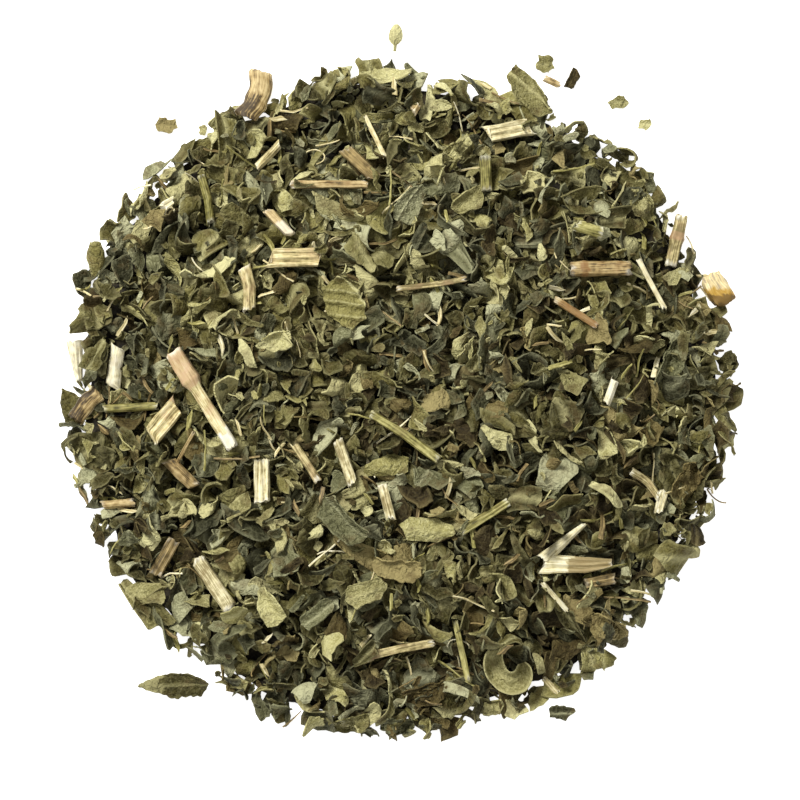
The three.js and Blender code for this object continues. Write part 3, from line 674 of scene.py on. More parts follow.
# dark, middle and pale tone and stain, and how white a fresh cut shows
STEM_TONES = {
    "stem_straw": (("#75683f", "#c2b27c", "#e6dcb0", "#b08c68"), 0.9),
    "stem_cream": (("#8f8258", "#d6cb9c", "#f1eacb", "#8a7448"), 0.9),
    "stem_tan": (("#43351d", "#9a8252", "#cbb683", "#80592c"), 0.6),
    "stem_green": (("#48431b", "#878044", "#bab273", "#75653a"), 0.55),
    "stem_brown": (("#2c2412", "#6a5a36", "#a8925f", "#4c3a24"), 0.3),
    "stem_pith": (("#7a5f2c", "#cdb165", "#ece0a8", "#ad8428"), 0.9),
}
FRESH_CUT = "#f3efdc"


def stem_material(name, tones, whiteness):
    """Woody, dull stem: long fibre lines and blotches in the stem's own mm, stained and fresh-cut ends."""
    material, tree, output = new_material(name)
    flat = add_node(tree, "UVMap", uv_map="blade")
    lines = add_node(tree, "Mapping", {"Vector": flat, "Scale": (FIBRES_ALONG_MM, FIBRES_ACROSS_MM, 1)})
    fibre = add_node(tree, "TexNoise", {"Vector": lines, "Scale": 1, "Detail": 3, "Roughness": 0.6})
    blotch = add_node(tree, "TexNoise", {"Vector": flat, "Scale": BLOTCHES_PER_MM, "Detail": 3})
    stain, cut, tone = [
        add_node(tree, "Attribute", attribute_name=layer).outputs["Fac"] for layer in ("stain", "cut", "tone")
    ]
    cut = add_node(tree, "Math", {0: cut, 1: whiteness}, operation="MULTIPLY")
    level = add_node(tree, "Math", {0: tone, 1: 0.26}, operation="SUBTRACT")
    level = add_node(tree, "Math", {0: blotch, 1: 0.55, 2: level}, operation="MULTIPLY_ADD")
    level = add_node(tree, "Math", {0: fibre, 1: 1.0, 2: level}, operation="MULTIPLY_ADD")
    shade = add_node(tree, "ValToRGB", {"Fac": level}, stops=zip((0.3, 0.47, 0.7), tones))
    patchy = add_node(tree, "Math", {0: blotch, 1: 1.5}, operation="MULTIPLY")
    patchy = add_node(tree, "Math", {0: patchy, 1: stain}, operation="MULTIPLY", use_clamp=True)
    stained = {"Factor": patchy, "A": shade, "B": linear(tones[3])}
    stained = add_node(tree, "Mix", stained, data_type="RGBA").outputs[2]
    whole = {"Factor": cut, "A": stained, "B": linear(FRESH_CUT)}
    whole = add_node(tree, "Mix", whole, data_type="RGBA").outputs[2]
    relief = add_node(tree, "Bump", {"Height": fibre, "Strength": 0.6, "Distance": 0.12 * MM})
    bark = {"Base Color": whole, "Roughness": 0.62, "IOR": 1.5, "Specular IOR Level": 0.35, "Normal": relief}
    bark = add_node(tree, "BsdfPrincipled", bark)
    tree.links.new(bark.outputs["BSDF"], output.inputs["Surface"])
    return material


stem_finishes = {slot: stem_material("dried_" + slot, *tones) for slot, tones in STEM_TONES.items()}
slot_of = {part["node"]: part["material_slot"] for part in frame["record"]["subparts"]}


class Lie:
    """How a node lies: its middle, its ways along, across and up, and its reach at places along it."""

    def __init__(self, name):
        mesh = nodes[name].data
        corners = np.array([v.co for v in mesh.vertices])
        self.middle = (corners.max(0) + corners.min(0)) / 2
        spread = np.linalg.svd(corners - corners.mean(0), full_matrices=False)[2]
        along = spread[0] * (1 if spread[0][0] > 0 else -1)
        across = np.cross((0, 0, 1), along)
        across /= np.linalg.norm(across)
        self.ways = np.array([along, across, np.cross(along, across)])
        own = (corners - self.middle) @ self.ways.T
        self.start, self.end = own[:, 0].min(), own[:, 0].max()
        self.length = self.end - self.start
        ends = np.array([e.vertices for e in mesh.edges])
        near, far = own[ends[:, 0]], own[ends[:, 1]]
        self.shares = np.linspace(0.015, 0.985, 25)
        self.reach = []
        for share in self.shares:
            plane = self.start + share * self.length
            crossing = (near[:, 0] - plane) * (far[:, 0] - plane) < 0
            part = ((plane - near[crossing, 0]) / (far[crossing, 0] - near[crossing, 0]))[:, None]
            met = near[crossing] + part * (far[crossing] - near[crossing])
            self.reach.append((met[:, 1].min(), met[:, 1].max(), met[:, 2].min(), met[:, 2].max()))
        self.reach = np.array(self.reach)

    def at(self, share):
        """Lowest and highest reach across, then up, at a share of the length."""
        return [np.interp(share, self.shares, self.reach[:, k]) for k in range(4)]

    def place(self, along, across, up):
        """A point given in the node's own ways, in the frame."""
        return Vector(self.middle + np.array([along, across, up]) @ self.ways)

    def share_of(self, point):
        """The share of the node's length at which a point of the frame lies."""
        return ((np.array(point) - self.middle) @ self.ways[0] - self.start) / self.length


# sections of a stem as [across, up] points round it, from under its middle; 1 is half its width or
# thickness
SECTIONS = {
    "split": [
        (0, -1), (0.35, -1), (0.86, -0.5), (1, 0.3), (0.88, 0.85), (0.66, 1), (0.4, 0.72), (0.15, 0.82),
        (0, 1), (-0.2, 0.8), (-0.45, 0.7), (-0.7, 1), (-0.9, 0.85), (-1, 0.3), (-0.86, -0.5), (-0.35, -1),
        (0, -1),
    ],
    "sliver": [
        (0, -1), (0.6, -1), (0.9, -0.6), (1, 0), (0.75, 0.5), (0.3, 0.7), (0.1, 1), (-0.4, 0.85),
        (-0.75, 0.3), (-1, 0), (-0.85, -0.5), (-0.6, -1), (0, -1),
    ],
}


def section_point(form, turn):
    """A point of a stem's section at a share of the way round it."""
    if form == "round":
        angle = 2 * math.pi * turn - math.pi / 2
        ridge = 1 - 0.1 * math.cos(4 * angle)
        return ridge * math.cos(angle), ridge * math.sin(angle)
    points = np.array(SECTIONS[form])
    steps = np.concatenate([[0], np.cumsum(np.hypot(*np.diff(points, axis=0).T))])
    return [np.interp(turn, steps / steps[-1], points[:, k]) for k in (0, 1)]


def noise_round(angle, size, depth):
    """Smooth noise that meets itself all the way round a stem."""
    return noise.noise(Vector((size * math.cos(angle), size * math.sin(angle), depth)))


def stem_mesh(bm, form, length, reach, place, seed, joint=-1):
    """A stem of fibres: a grid rolled into a tube through its reaches, with ragged ends that are closed."""
    rows = max(6, round(length / FIBRE_STEP))
    made = bmesh.ops.create_grid(bm, x_segments=rows, y_segments=STEM_AROUND, size=0.5)["verts"]
    cut = bm.verts.layers.float["cut"]
    width = np.ptp(reach(0.5)[:2])
    map_flat(bm, made, lambda co: (co.x * length / MM + seed * 3.7, co.y * 3.2 * width / MM))
    for vert in made:
        share, turn = vert.co.x + 0.5, vert.co.y + 0.5
        across, up = section_point(form, turn)
        low, high, under, top = reach(share)
        angle = 2 * math.pi * turn
        fibres = noise_round(angle, 3, share * length / (5 * MM) + seed)
        ridges = noise_round(angle, 7, share * length / (9 * MM) - seed)
        uneven = noise_round(angle, 1, share * length / (2.2 * MM) + 3 * seed)
        ragged = noise_round(angle, 2.2, seed + 9.5 * round(share))
        ring = math.exp(-(((share - joint) * length / (0.3 * MM)) ** 2)) * (1.5 + uneven)
        swell = 1 + FIBRE_RELIEF * (1.4 * fibres + ridges + 1.3 * ring) / (0.5 * width) + 0.1 * uneven
        at_end = 1 - min(1, min(share, 1 - share) * length / (1.1 * MM))
        near_end = 1 - min(1, min(share, 1 - share) * length / min(2.2 * MM, 0.45 * length))
        slant = math.sin(2.7 * seed + 4 * round(share)) * (0.5 if form == "round" else 1)
        cut_back = 0.5 * MM * at_end * (0.3 + ragged)
        cut_back += 0.3 * width * near_end * abs(slant) * (1 + slant * across)
        vert.co = place(
            share + (1 if share < 0.5 else -1) * cut_back / length,
            (low + high) / 2 + across * swell * (high - low) / 2,
            (under + top) / 2 + up * swell * (top - under) / 2,
        )
        vert[cut] = max(0, at_end * (0.6 + ragged) - 0.25)
    bmesh.ops.remove_doubles(bm, verts=made, dist=0.004 * MM)
    made = [vert for vert in made if vert.is_valid]
    rims = [edge for edge in bm.edges if edge.is_boundary]
    caps = bmesh.ops.holes_fill(bm, edges=rims, sides=0)["faces"]
    if form == "round":
        hollow = 0.1 * width
        bmesh.ops.inset_region(bm, faces=caps, thickness=hollow, depth=-hollow, use_even_offset=False)
    bmesh.ops.triangulate(bm, faces=caps)
    for face in caps:
        if face.is_valid:
            for vert in face.verts:
                vert[cut] = 0.8


def keep_stem(bm, name, node, slot, sharpest=45):
    """Closes a stem piece in the place of a node of the frame or of a part of one."""
    bmesh.ops.recalc_face_normals(bm, faces=bm.faces[:])
    shade_smooth(bm, sharpest)
    stand_in(keep_mesh(bm, name, stem_finishes[slot]), node, slot)


# stretches of a stem that are stained or bleached, as shares of its length from its left end
STAINED = {
    "stem_round_01": (0, 0.37),
    "stem_split_02": (0.82, 1),
    "stem_round_08": (0.16, 0.3),
    "stem_round_09": (0.5, 0.66),
    "stem_round_31": (0.1, 1),
    "stem_round_34": (0, 0.12),
}
BLEACHED = {
    "stem_round_01": (0.88, 1),
    "stem_sliver_25": (0, 1),
    "stem_sliver_26": (0, 1),
    "stem_sliver_33": (0, 1),
    "stem_round_14": (0.55, 1),
}
BLEACHING = {"round": 0.75, "sliver": 0.3}
NOWHERE = (2, 3)
# how much paler or darker than its kind a stem is
STEM_SHIFTS = {
    "stem_round_09": -0.15,
    "stem_split_02": -0.03,
    "stem_sliver_25": -0.08,
    "stem_sliver_26": -0.1,
    "stem_round_04": -0.14,
    "stem_sliver_07": -0.06,
    "stem_split_12": 0.1,
    "stem_round_13": 0.01,
    "stem_round_14": 0.12,
    "stem_sliver_16": -0.06,
    "stem_round_19": -0.02,
    "stem_round_20": -0.2,
    "stem_round_21": -0.1,
    "stem_split_23": -0.12,
    "stem_sliver_28": -0.04,
    "stem_sliver_29": -0.06,
    "stem_round_34": -0.12,
    "stem_round_35": 0.06,
    "stem_sliver_36": -0.06,
    "stem_split_22": -0.1,
    "stem_round_08": -0.08,
    "stem_split_10": -0.06,
    "stem_split_03": -0.02,
    "stem_split_06": -0.06,
    "stem_round_11": -0.12,
}
# flat slivers that lie on their broad side: how much wider at their left and right ends
WIDENED = {"stem_sliver_25": (1.25, 1.25), "stem_sliver_26": (1.45, 0.6)}
JOINT_RINGS = {"stem_round_01": 0.37, "stem_round_08": 0.22, "stem_round_09": 0.55}
KNOB_STEM, KNOB_WIDEST, KNOB_END = "stem_round_01", 0.2, 0.31  # this one swells towards its joint all the way


def knob_reach(share):
    """Reaches of the stem whose end is one thick knob, up to its joint."""
    blend = max(0, min(1, (share - KNOB_END) / (JOINT_RINGS[KNOB_STEM] - KNOB_END)))
    lie = lies[KNOB_STEM]
    wide, own = np.array(lie.at(KNOB_WIDEST)), np.array(lie.at(max(share, KNOB_WIDEST)))
    return wide * (0.86 + 0.14 * share / KNOB_END) * (1 - blend) + own * blend if share < 0.45 else own


def stem_reach(name):
    """Reaches of a stem: evened out for a short whole stem, and broader for some slivers."""
    lie = lies[name]
    if name == KNOB_STEM:
        return knob_reach
    if name in WIDENED:
        left, right = WIDENED[name]
        return lambda share: np.array(lie.at(share)) * ([left + (right - left) * share] * 2 + [1, 1])
    if "round" in name and lie.length < 12 * MM:
        usual = np.median(lie.reach, axis=0)
        return lambda share: 0.35 * np.array(lie.at(share)) + 0.65 * usual
    return lie.at


lies = {name: Lie(name) for name in LYING}
for number, name in enumerate(n for n in LYING if n.startswith("stem_")):
    form = name.split("_")[1]
    if form not in ("round", "split", "sliver"):
        continue
    lie = lies[name]
    bm, cut, stain, tone = new_piece(*STEM_LAYERS)
    set_down = lambda s, a, u: lie.place(lie.start + s * lie.length, a, u)
    stem_mesh(bm, form, lie.length, stem_reach(name), set_down, number, JOINT_RINGS.get(name, -1))
    stained, bleached = [stretches.get(name, NOWHERE) for stretches in (STAINED, BLEACHED)]
    for vert in bm.verts:
        share = lie.share_of(vert.co) + 0.06 * noise.noise(vert.co / (1.2 * MM))
        patchy = 0.8 * max(0, noise.noise(vert.co / (1.3 * MM) + Vector((number, 0, 0))))
        vert[stain] = 0.85 if stained[0] < share < stained[1] else patchy
        mottled = 0.12 * noise.noise(vert.co / (1.8 * MM) + Vector((0, number, 0)))
        vert[tone] = STEM_SHIFTS.get(name, 0) + mottled
        if bleached[0] - 0.05 < share < bleached[1] + 0.05:
            vert[cut] = max(vert[cut], BLEACHING[form] + 0.4 * noise.noise(vert.co / (0.7 * MM)))
    keep_stem(bm, name.replace("stem", "cut_stem"), name, slot_of[name])

# ---------------------------------------------------------------- curled bark
# Bark that came away from its stem dries into a curved strip, tan inside and darker outside. Its ends are
# thin and torn.
BARK_THICKNESS = 0.28 * MM
BARK_CURVE = 1.25  # how far the strip bends to each side of its middle line, in radians


def bark_strip(name, seed, dark_until):
    """A strip bent across its width through its node's reaches, thinned and torn at its ends."""
    lie = lies[name]
    bm, cut, _, tone = new_piece(*STEM_LAYERS)
    bmesh.ops.create_grid(bm, x_segments=30, y_segments=14, size=0.5)
    map_flat(bm, bm.verts, lambda co: (co.x * lie.length / MM + seed, co.y * 3.5))
    for vert in bm.verts:
        share, turn = vert.co.x + 0.5, 2 * vert.co.y
        low, high, under, top = lie.at(share)
        torn = 1 - 0.14 * noise.noise(Vector((share * 5, seed, round(turn))))
        wave = 0.14 * MM * noise.noise(Vector((share * 4, turn * 3, seed)))
        drawn_in = 0.08 * abs(noise.noise(Vector((turn * 4, seed, 0))))
        vert.co = lie.place(
            lie.start + (share + (0.5 - share) * drawn_in) * lie.length,
            (low + high) / 2 + torn * math.sin(BARK_CURVE * turn) * (high - low) / 2,
            top - 0.15 * MM - (1 - math.cos(BARK_CURVE * turn)) * 1.15 * (top - under - 0.3 * MM) + wave,
        )
        streaks = noise.noise(Vector((share * 2.5, turn * 5, seed)))
        darkness = (dark_until + 0.35 * turn + 0.45 * streaks - share) / 0.18 * min(1, max(0, 2.2 + 3 * turn))
        lines = noise.noise(Vector((share * 1.5, turn * 9, seed)))
        vert[tone] = -0.24 * min(1, max(0, darkness)) + 0.2 * lines
        vert[cut] = 0.5 * (abs(turn) > 0.9)
    bmesh.ops.recalc_face_normals(bm, faces=bm.faces[:])
    thicken(bm, BARK_THICKNESS)
    keep_stem(bm, name.replace("stem_bark", "curled_bark"), name, slot_of[name])


bark_strip("stem_bark_17", 4.4, dark_until=0.45)
bark_strip("stem_bark_27", 5.4, dark_until=0.7)

# ---------------------------------------------------------------- forked stem
# A split stem still carries its side shoot, which leaves it at its left end and points up and to the right.
MAIN_LENGTH = 10.7 * MM
MAIN_WIDTH = 2.9 * MM
MAIN_TAPER = 0.3
MAIN_POINT = 0.75  # how far the lower side rises to meet the upper one at the right end
MAIN_ANGLE, MAIN_RISE = -0.03, 0.2 * MM
SHOOT_LENGTH = 8.6 * MM
SHOOT_WIDTH = 2.1 * MM
SHOOT_TAPER = 0.72
SHOOT_ANGLE, SHOOT_RISE = math.radians(41), 0.7 * MM
FORK_NODE = "stem_forked_18"

fork_low = Vector(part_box(FORK_NODE)[0])
fork_left = Vector((fork_low.x + 0.1 * MM, fork_low.y + 0.5 * MAIN_WIDTH, fork_low.z + 0.4 * MAIN_WIDTH))


def fork_reach(width, taper, point=0):
    """Reaches across and up of one arm of the fork along its length."""
    return lambda share: [
        k * (1 - taper * share) * width / 2 for k in (-1 + point * max(0, share - 0.65) / 0.35, 1, -0.7, 0.7)
    ]


def fork_place(length, start, angle, rise):
    """Places a point of an arm that starts at a point and leaves it at an angle."""
    way = pointing(angle)
    across = Vector((-way.y, way.x, 0))
    return lambda s, a, u: start + way * s * length + across * a + Vector((0, 0, u + rise * s))


bm, _, stain, tone = new_piece(*STEM_LAYERS)
main_reach = fork_reach(MAIN_WIDTH, MAIN_TAPER, MAIN_POINT)
stem_mesh(bm, "split", MAIN_LENGTH, main_reach, fork_place(MAIN_LENGTH, fork_left, MAIN_ANGLE, MAIN_RISE), 31)
for vert in bm.verts:
    edge = 0.4 * MAIN_LENGTH + 0.5 * (vert.co.y - fork_left.y) + 0.8 * MM * noise.noise(vert.co / (1.2 * MM))
    if vert.co.x - fork_left.x > edge:
        vert[stain], vert[tone] = 0.8, -0.16
shoot_start = fork_left + Vector((0.35 * MM, 0.25 * MM, 0.25 * MM))
shoot_place = fork_place(SHOOT_LENGTH, shoot_start, SHOOT_ANGLE, SHOOT_RISE)
stem_mesh(bm, "sliver", SHOOT_LENGTH, fork_reach(SHOOT_WIDTH, SHOOT_TAPER), shoot_place, 32)
keep_stem(bm, "forked_stem", FORK_NODE, slot_of[FORK_NODE])

# ---------------------------------------------------------------- chip of pith
# A thick stem's soft, crumbly inside, cut into a block: pale on its side towards +y, with a strip of ochre
# bark across it, and darker towards -y.
PITH_NODE = "stem_pith_37"

lie = lies[PITH_NODE]
low, high, under, top = lie.at(0.5)
bm, cut, stain, tone = new_piece(*STEM_LAYERS)
bmesh.ops.create_cube(bm, size=2)
bmesh.ops.subdivide_edges(bm, edges=bm.edges[:], cuts=11, use_grid_fill=True)
map_flat(bm, bm.verts, lambda co: (co.x * 2 + co.z, co.y * 1.6 + co.z))
for vert in bm.verts:
    unit = vert.co.copy()
    rounded = unit * (1 - 0.26 * (unit.length - 1) / 0.73)
    rounded += 0.16 * noise.noise_vector(unit * 1.7) + 0.05 * noise.noise_vector(unit * 5)
    vert.co = lie.place(
        rounded.x * lie.length / 2,
        (low + high) / 2 + rounded.y * (high - low) / 2,
        rounded.z * (top - under) / 2,
    )
    # pale towards +y, ochre in a band across the middle, darker towards -y
    down = (lie.middle[1] - vert.co.y) / (1.3 * MM) + 0.25 * noise.noise(unit * 2)
    vert[cut] = 0.25 * (down < -0.05)
    vert[stain] = 1.0 * (-0.05 < down < 0.6)
    vert[tone] = -0.36 if down > 0.6 else -0.06
keep_stem(bm, "pith_chip", PITH_NODE, slot_of[PITH_NODE], sharpest=60)

# ---------------------------------------------------------------- thin stems on the bed
# Stalks and slivers too thin to weigh anything lie on top of the leaf, straight or nearly so.
# middle, heading, length, width, kind and section, in mm and degrees
THIN_STEMS = [
    ((22.5, -28.2), -48, 5.6, 0.7, "stem_cream", "round"),
    ((-3.3, 37.8), -64, 6.9, 0.7, "stem_straw", "round"),
    ((27.2, 24.4), -16, 4.7, 1.7, "stem_green", "sliver"),
    ((22.0, -41.2), -47, 3.6, 0.9, "stem_straw", "sliver"),
    ((2.5, 42.0), 62, 2.5, 1.3, "stem_tan", "sliver"),
    ((37.9, -14.5), 76, 4.2, 1.3, "stem_cream", "split"),
    ((-32.9, 27.7), 35, 2.6, 2.2, "stem_cream", "split"),
    ((-30.5, -7.0), 60, 6.5, 0.5, "stem_tan", "round"),
    ((29.0, -26.0), 10, 5.0, 1.6, "stem_brown", "split"),
    ((22.2, 46.2), -25, 2.8, 1.0, "stem_tan", "sliver"),
]
for number, (place, heading, length, width, slot, form) in enumerate(THIN_STEMS):
    span = pointing(math.radians(heading)) * length * MM
    middle = Vector((*place, 0)) * MM
    spots = [middle + span * k for k in (-0.4, 0, 0.4)]
    near, mid, far = [laid_level[cell_of(spot.x), cell_of(spot.y)] for spot in spots]
    middle.z = max((near + far) / 2, mid) + 0.2 * width * MM
    along = (span + Vector((0, 0, far - near))).normalized()
    across = Vector((0, 0, 1)).cross(along).normalized()
    ways = np.array([along, across, along.cross(across)])
    bm = new_piece(*STEM_LAYERS)[0]
    same_all_along = lambda _: [k * width * MM / 2 for k in (-1, 1, -0.7, 0.7)]
    set_down = lambda s, a, u: Vector(np.array(middle) + np.array([(s - 0.5) * length * MM, a, u]) @ ways)
    stem_mesh(bm, form, length * MM, same_all_along, set_down, 50 + number)
    for vert in bm.verts:
        vert.co.z = min(max(vert.co.z, BOTTOM), TOP)
    keep_stem(bm, f"thin_stem_{number + 1}", "leaf_bed", slot)

# ---------------------------------------------------------------- larger leaf fragments
# Pieces of blade that the cutter left large: toothed or torn sides, a midrib with side ribs at a slant,
# and the blade swollen between them. Some lie face up, with sunk ribs, and some back up, with proud ones.
LEAF_STEP = 0.24 * MM
LEAF_THICKNESS = 0.2 * MM
LEAF_LAYERS = ("rim", "rib", "draw")
FELT_APART = 0.6 * MM  # between the points that the height of a node's top is the mean of
STEPS_IN = 8  # tries on the way from a place off a node to the node's middle
PALE_TIPS = {"leaf_blade_13": 0.33}  # share of a piece's length, from the left, that stayed pale
PALE_TIP_RIB = 0.75
LIGHTER = {"leaf_blade_13": "leaf_olive", "leaf_blade_07": "leaf_yellow_green"}  # brown only in patches
RIB_WIDTH = 0.16 * MM

# torn sides, as a number or as the (degrees, reach) of each; how proud its ribs stand, in mm; place of
# the midrib, as a share of half the width; spacing of the side ribs and tooth depth, in mm; folds;
# radius of its roll, in mm, above 0 for a cup and below for a pillow; crumple, in mm; shade, from 0 for
# dark to 1 for pale
LEAF_FORMS = {
    "leaf_blade_01": (
        ((165, 0.9), (205, 0.85), (90, 0.72), (-90, 0.8), (25, 0.9), (-30, 0.9)),
        0.12, 0.1, 2.8, 0.05, 1, 2.6, 0.5, 0.45,
    ),
    "leaf_blade_02": (
        ((150, 0.8), (205, 0.8), (30, 0.8), (-40, 0.8), (90, 0.72), (-90, 0.72)),
        0.12, -0.15, 1.5, 0.15, 0, 1.5, 0.3, 0.5,
    ),
    "leaf_blade_03": (
        ((150, 0.75), (210, 0.75), (35, 0.85), (-40, 0.8), (90, 0.9)),
        0.1, -0.1, 1.8, 0.15, 0, 2.1, 0.35, 0.62,
    ),
    "leaf_blade_04": (6, 0.0, -0.2, 1.8, 0.1, 0, -3, 0.3, 0.62),
    "leaf_blade_05": (((150, 0.7), (215, 0.75), (20, 0.9), (-30, 0.95)), 0.15, 0.1, 1.8, 0.3, 1, 4, 0.6, 0.9),
    "leaf_blade_07": (5, 0.0, 0.9, 1.6, 0.1, 0, -2, 0.35, 0.5),
    "leaf_blade_08": (
        ((180, 0.85), (120, 0.95), (60, 0.95), (0, 0.95), (-60, 0.95), (-120, 0.9)),
        0.9, 0.85, 2.4, 0.3, 0, -6, 0.06, 0.34,
    ),
    "leaf_blade_09": (6, 0.2, 0.15, 1.2, 0.3, 1, 6, 0.3, 0.6),
    "leaf_blade_10": (5, 0.0, -0.9, 1.5, 0.15, 1, 4, 0.3, 0.6),
    "leaf_blade_11": (
        ((0, 0.95), (180, 0.9), (60, 0.7), (-35, 0.75), (35, 0.7), (-120, 0.9)),
        0.3, 0.25, 5.0, 0.1, 1, 2.6, 0.3, 0.52,
    ),
    "leaf_blade_12": (5, 0.0, 0.5, 1.6, 0.1, 1, 3, 0.35, 0.7),
    "leaf_blade_13": (
        ((110, 0.75), (250, 0.75), (30, 0.95), (-35, 0.92)),
        0.08, -0.1, 1.4, 0.4, 1, 5, 0.6, 0.14,
    ),
    "leaf_blade_14": (4, 0.05, -0.5, 1.5, 0.15, 1, 4, 0.35, 0.75),
    "leaf_blade_15": (5, 0.05, 0.9, 1.8, 0.1, 2, 3, 0.55, 0.75),
}


def top_of(name, place):
    """Mean height of a node's top at and around a place, or None off the node."""
    met = []
    for way in ((0, 0), (1, 0), (-1, 0), (0, 1), (0, -1)):
        start = Vector((place.x + way[0] * FELT_APART, place.y + way[1] * FELT_APART, PLUMB_START))
        hit = trees[name].ray_cast(start, Vector((0, 0, -1)))[0]
        if hit:
            met.append(hit.z)
    return sum(met) / len(met) if met else None


def keep_leaf(bm, name, node, slot, shade):
    """Gives a leaf piece its shade and thickness and closes it in the place of a node of the frame."""
    draw = bm.verts.layers.float["draw"]
    for vert in bm.verts:
        vert[draw] = shade ** (1 / SHADE_POWER) / DRAW_TURNS
    bmesh.ops.recalc_face_normals(bm, faces=bm.faces[:])
    if sum(face.normal.z for face in bm.faces) < 0:
        bmesh.ops.reverse_faces(bm, faces=bm.faces[:])
    thicken(bm, LEAF_THICKNESS)
    for vert in bm.verts:
        vert.co.z = min(max(vert.co.z, BOTTOM), TOP)
    stand_in(keep_mesh(bm, name, leaf_finishes[slot.replace("leaf_", "")]), node, slot)


def leaf_blade(seed, length, width, sides, ribs, rib_at, spacing, tooth, folds, roll, crumple):
    """A fine blade torn along a few lines, toothed, ribbed, swollen between its ribs, folded and crumpled."""
    draw = np.random.default_rng(500 + seed)
    offset = Vector(draw.uniform(-50, 50, 3))
    bm, rim, rib, _ = new_piece(*LEAF_LAYERS)
    columns, rows = round(length / LEAF_STEP), round(width / LEAF_STEP)
    bmesh.ops.create_grid(bm, x_segments=columns, y_segments=rows, size=0.5)
    bmesh.ops.scale(bm, vec=(length, width, 1), verts=bm.verts)
    if isinstance(sides, int):
        sides = [(360 * (k + draw.uniform(0, 0.8)) / sides, draw.uniform(0.84, 1.0)) for k in range(sides)]
    for degrees, share in sides:
        tear_off(bm, length, width, math.radians(degrees), share)
    bmesh.ops.remove_doubles(bm, verts=bm.verts, dist=0.08 * MM)
    for vert in bm.verts:
        x, y = vert.co.xy
        at_side = max(0, 2 * abs(y) / width - 0.5) * 2
        vert.co.y -= math.copysign(tooth * MM * at_side * abs((x / (1.1 * MM)) % 1 - 0.3), y)
        ragged = (0.1 + 0.12 * vert.is_boundary) * MM
        vert.co.xy += ragged * noise.noise_vector(vert.co / (0.8 * MM) + offset).xy
        vert[rim] = 0.9 * vert.is_boundary * (0.6 + noise.noise(vert.co / (1.1 * MM) + offset))
    map_flat(bm, bm.verts, lambda co: co.xy / MM)
    flat = {vert: vert.co.copy() for vert in bm.verts}
    for vert in bm.verts:
        x, y = vert.co.xy
        from_mid = y - rib_at * width / 2
        slanted = (x + abs(from_mid) * 0.95) / (spacing * MM) + 0.2 * noise.noise(vert.co / (3 * MM) + offset)
        from_side_rib = abs(slanted - round(slanted)) * spacing * MM
        taper = 1 - 0.55 * min(1, abs(from_mid) / width)
        side_rib = math.exp(-((from_side_rib / (RIB_WIDTH * taper)) ** 2)) * taper
        mid_rib = math.exp(-((from_mid / (1.1 * RIB_WIDTH)) ** 2))
        vert[rib] = max(1.5 * mid_rib, 0.5 * side_rib * (1 + ribs)) * min(1, 5 * ribs)
        lift = max(mid_rib, 0.6 * side_rib) + (0.6 if ribs > 0.5 else -0.5) * math.cos(2 * math.pi * slanted)
        wrinkle = 0.3 - abs(noise.noise(vert.co / (2.6 * MM) + offset))
        wrinkle += 0.4 * (0.3 - abs(noise.noise(vert.co / (1.0 * MM) + offset)))
        vert.co.z = ribs * MM * lift + 1.4 * crumple * MM * wrinkle
    for k in range(folds):
        place = Vector((draw.uniform(-0.2, 0.2) * length, draw.uniform(-0.25, 0.25) * width, 0))
        crease(bm, flat, place, draw.normal(0, 0.35) + k * 1.7, math.radians(draw.uniform(25, 60)))
    roll_up(bm, roll * MM, draw.uniform(0.8, 2.3))
    ease(bm, flat, rounds=6)
    return bm


def drape(bm, centre, heading, ground):
    """Turns a blade to its heading, and lays it over the ground below it."""
    turn = Matrix.Rotation(heading, 3, "Z")
    for vert in bm.verts:
        spot = centre + turn @ Vector((vert.co.x, vert.co.y, 0))
        level = ground(spot) + 0.8 * vert.co.z
        vert.co = Vector((spot.x, spot.y, max(0.3 * MM, min(level, TOP - 0.02 * MM))))


def ground_bed(spot):
    """Height of the laid flakes at a place."""
    return laid_level[cell_of(spot.x), cell_of(spot.y)]


def ground_on(name):
    """The top of a node at a place, or at the nearest place towards its middle that the node reaches."""
    middle = Vector((*lies[name].middle[:2], 0))

    def level(spot):
        for k in range(STEPS_IN):
            met = top_of(name, spot.lerp(middle, k / STEPS_IN))
            if met:
                return max(met, ground_bed(spot)) if name in AT_RIM else met
        return middle.z

    return level


for seed, (name, (*form, shade)) in enumerate(LEAF_FORMS.items()):
    lie = lies[name]
    width = (lie.reach[:, 1] - lie.reach[:, 0]).max()
    centre = lie.place((lie.start + lie.end) / 2, (lie.reach[:, 0].min() + lie.reach[:, 1].max()) / 2, 0)
    bm = leaf_blade(seed, lie.length, width, *form)
    drape(bm, Vector((centre.x, centre.y, 0)), math.atan2(lie.ways[0][1], lie.ways[0][0]), ground_on(name))
    rib = bm.verts.layers.float["rib"]
    for vert in bm.verts:
        if lie.share_of(vert.co) + 0.1 * noise.noise(vert.co / (1.3 * MM)) < PALE_TIPS.get(name, -1):
            vert[rib] = PALE_TIP_RIB
    keep_leaf(bm, name.replace("leaf_blade", "leaf_fragment"), name, LIGHTER.get(name, slot_of[name]), shade)

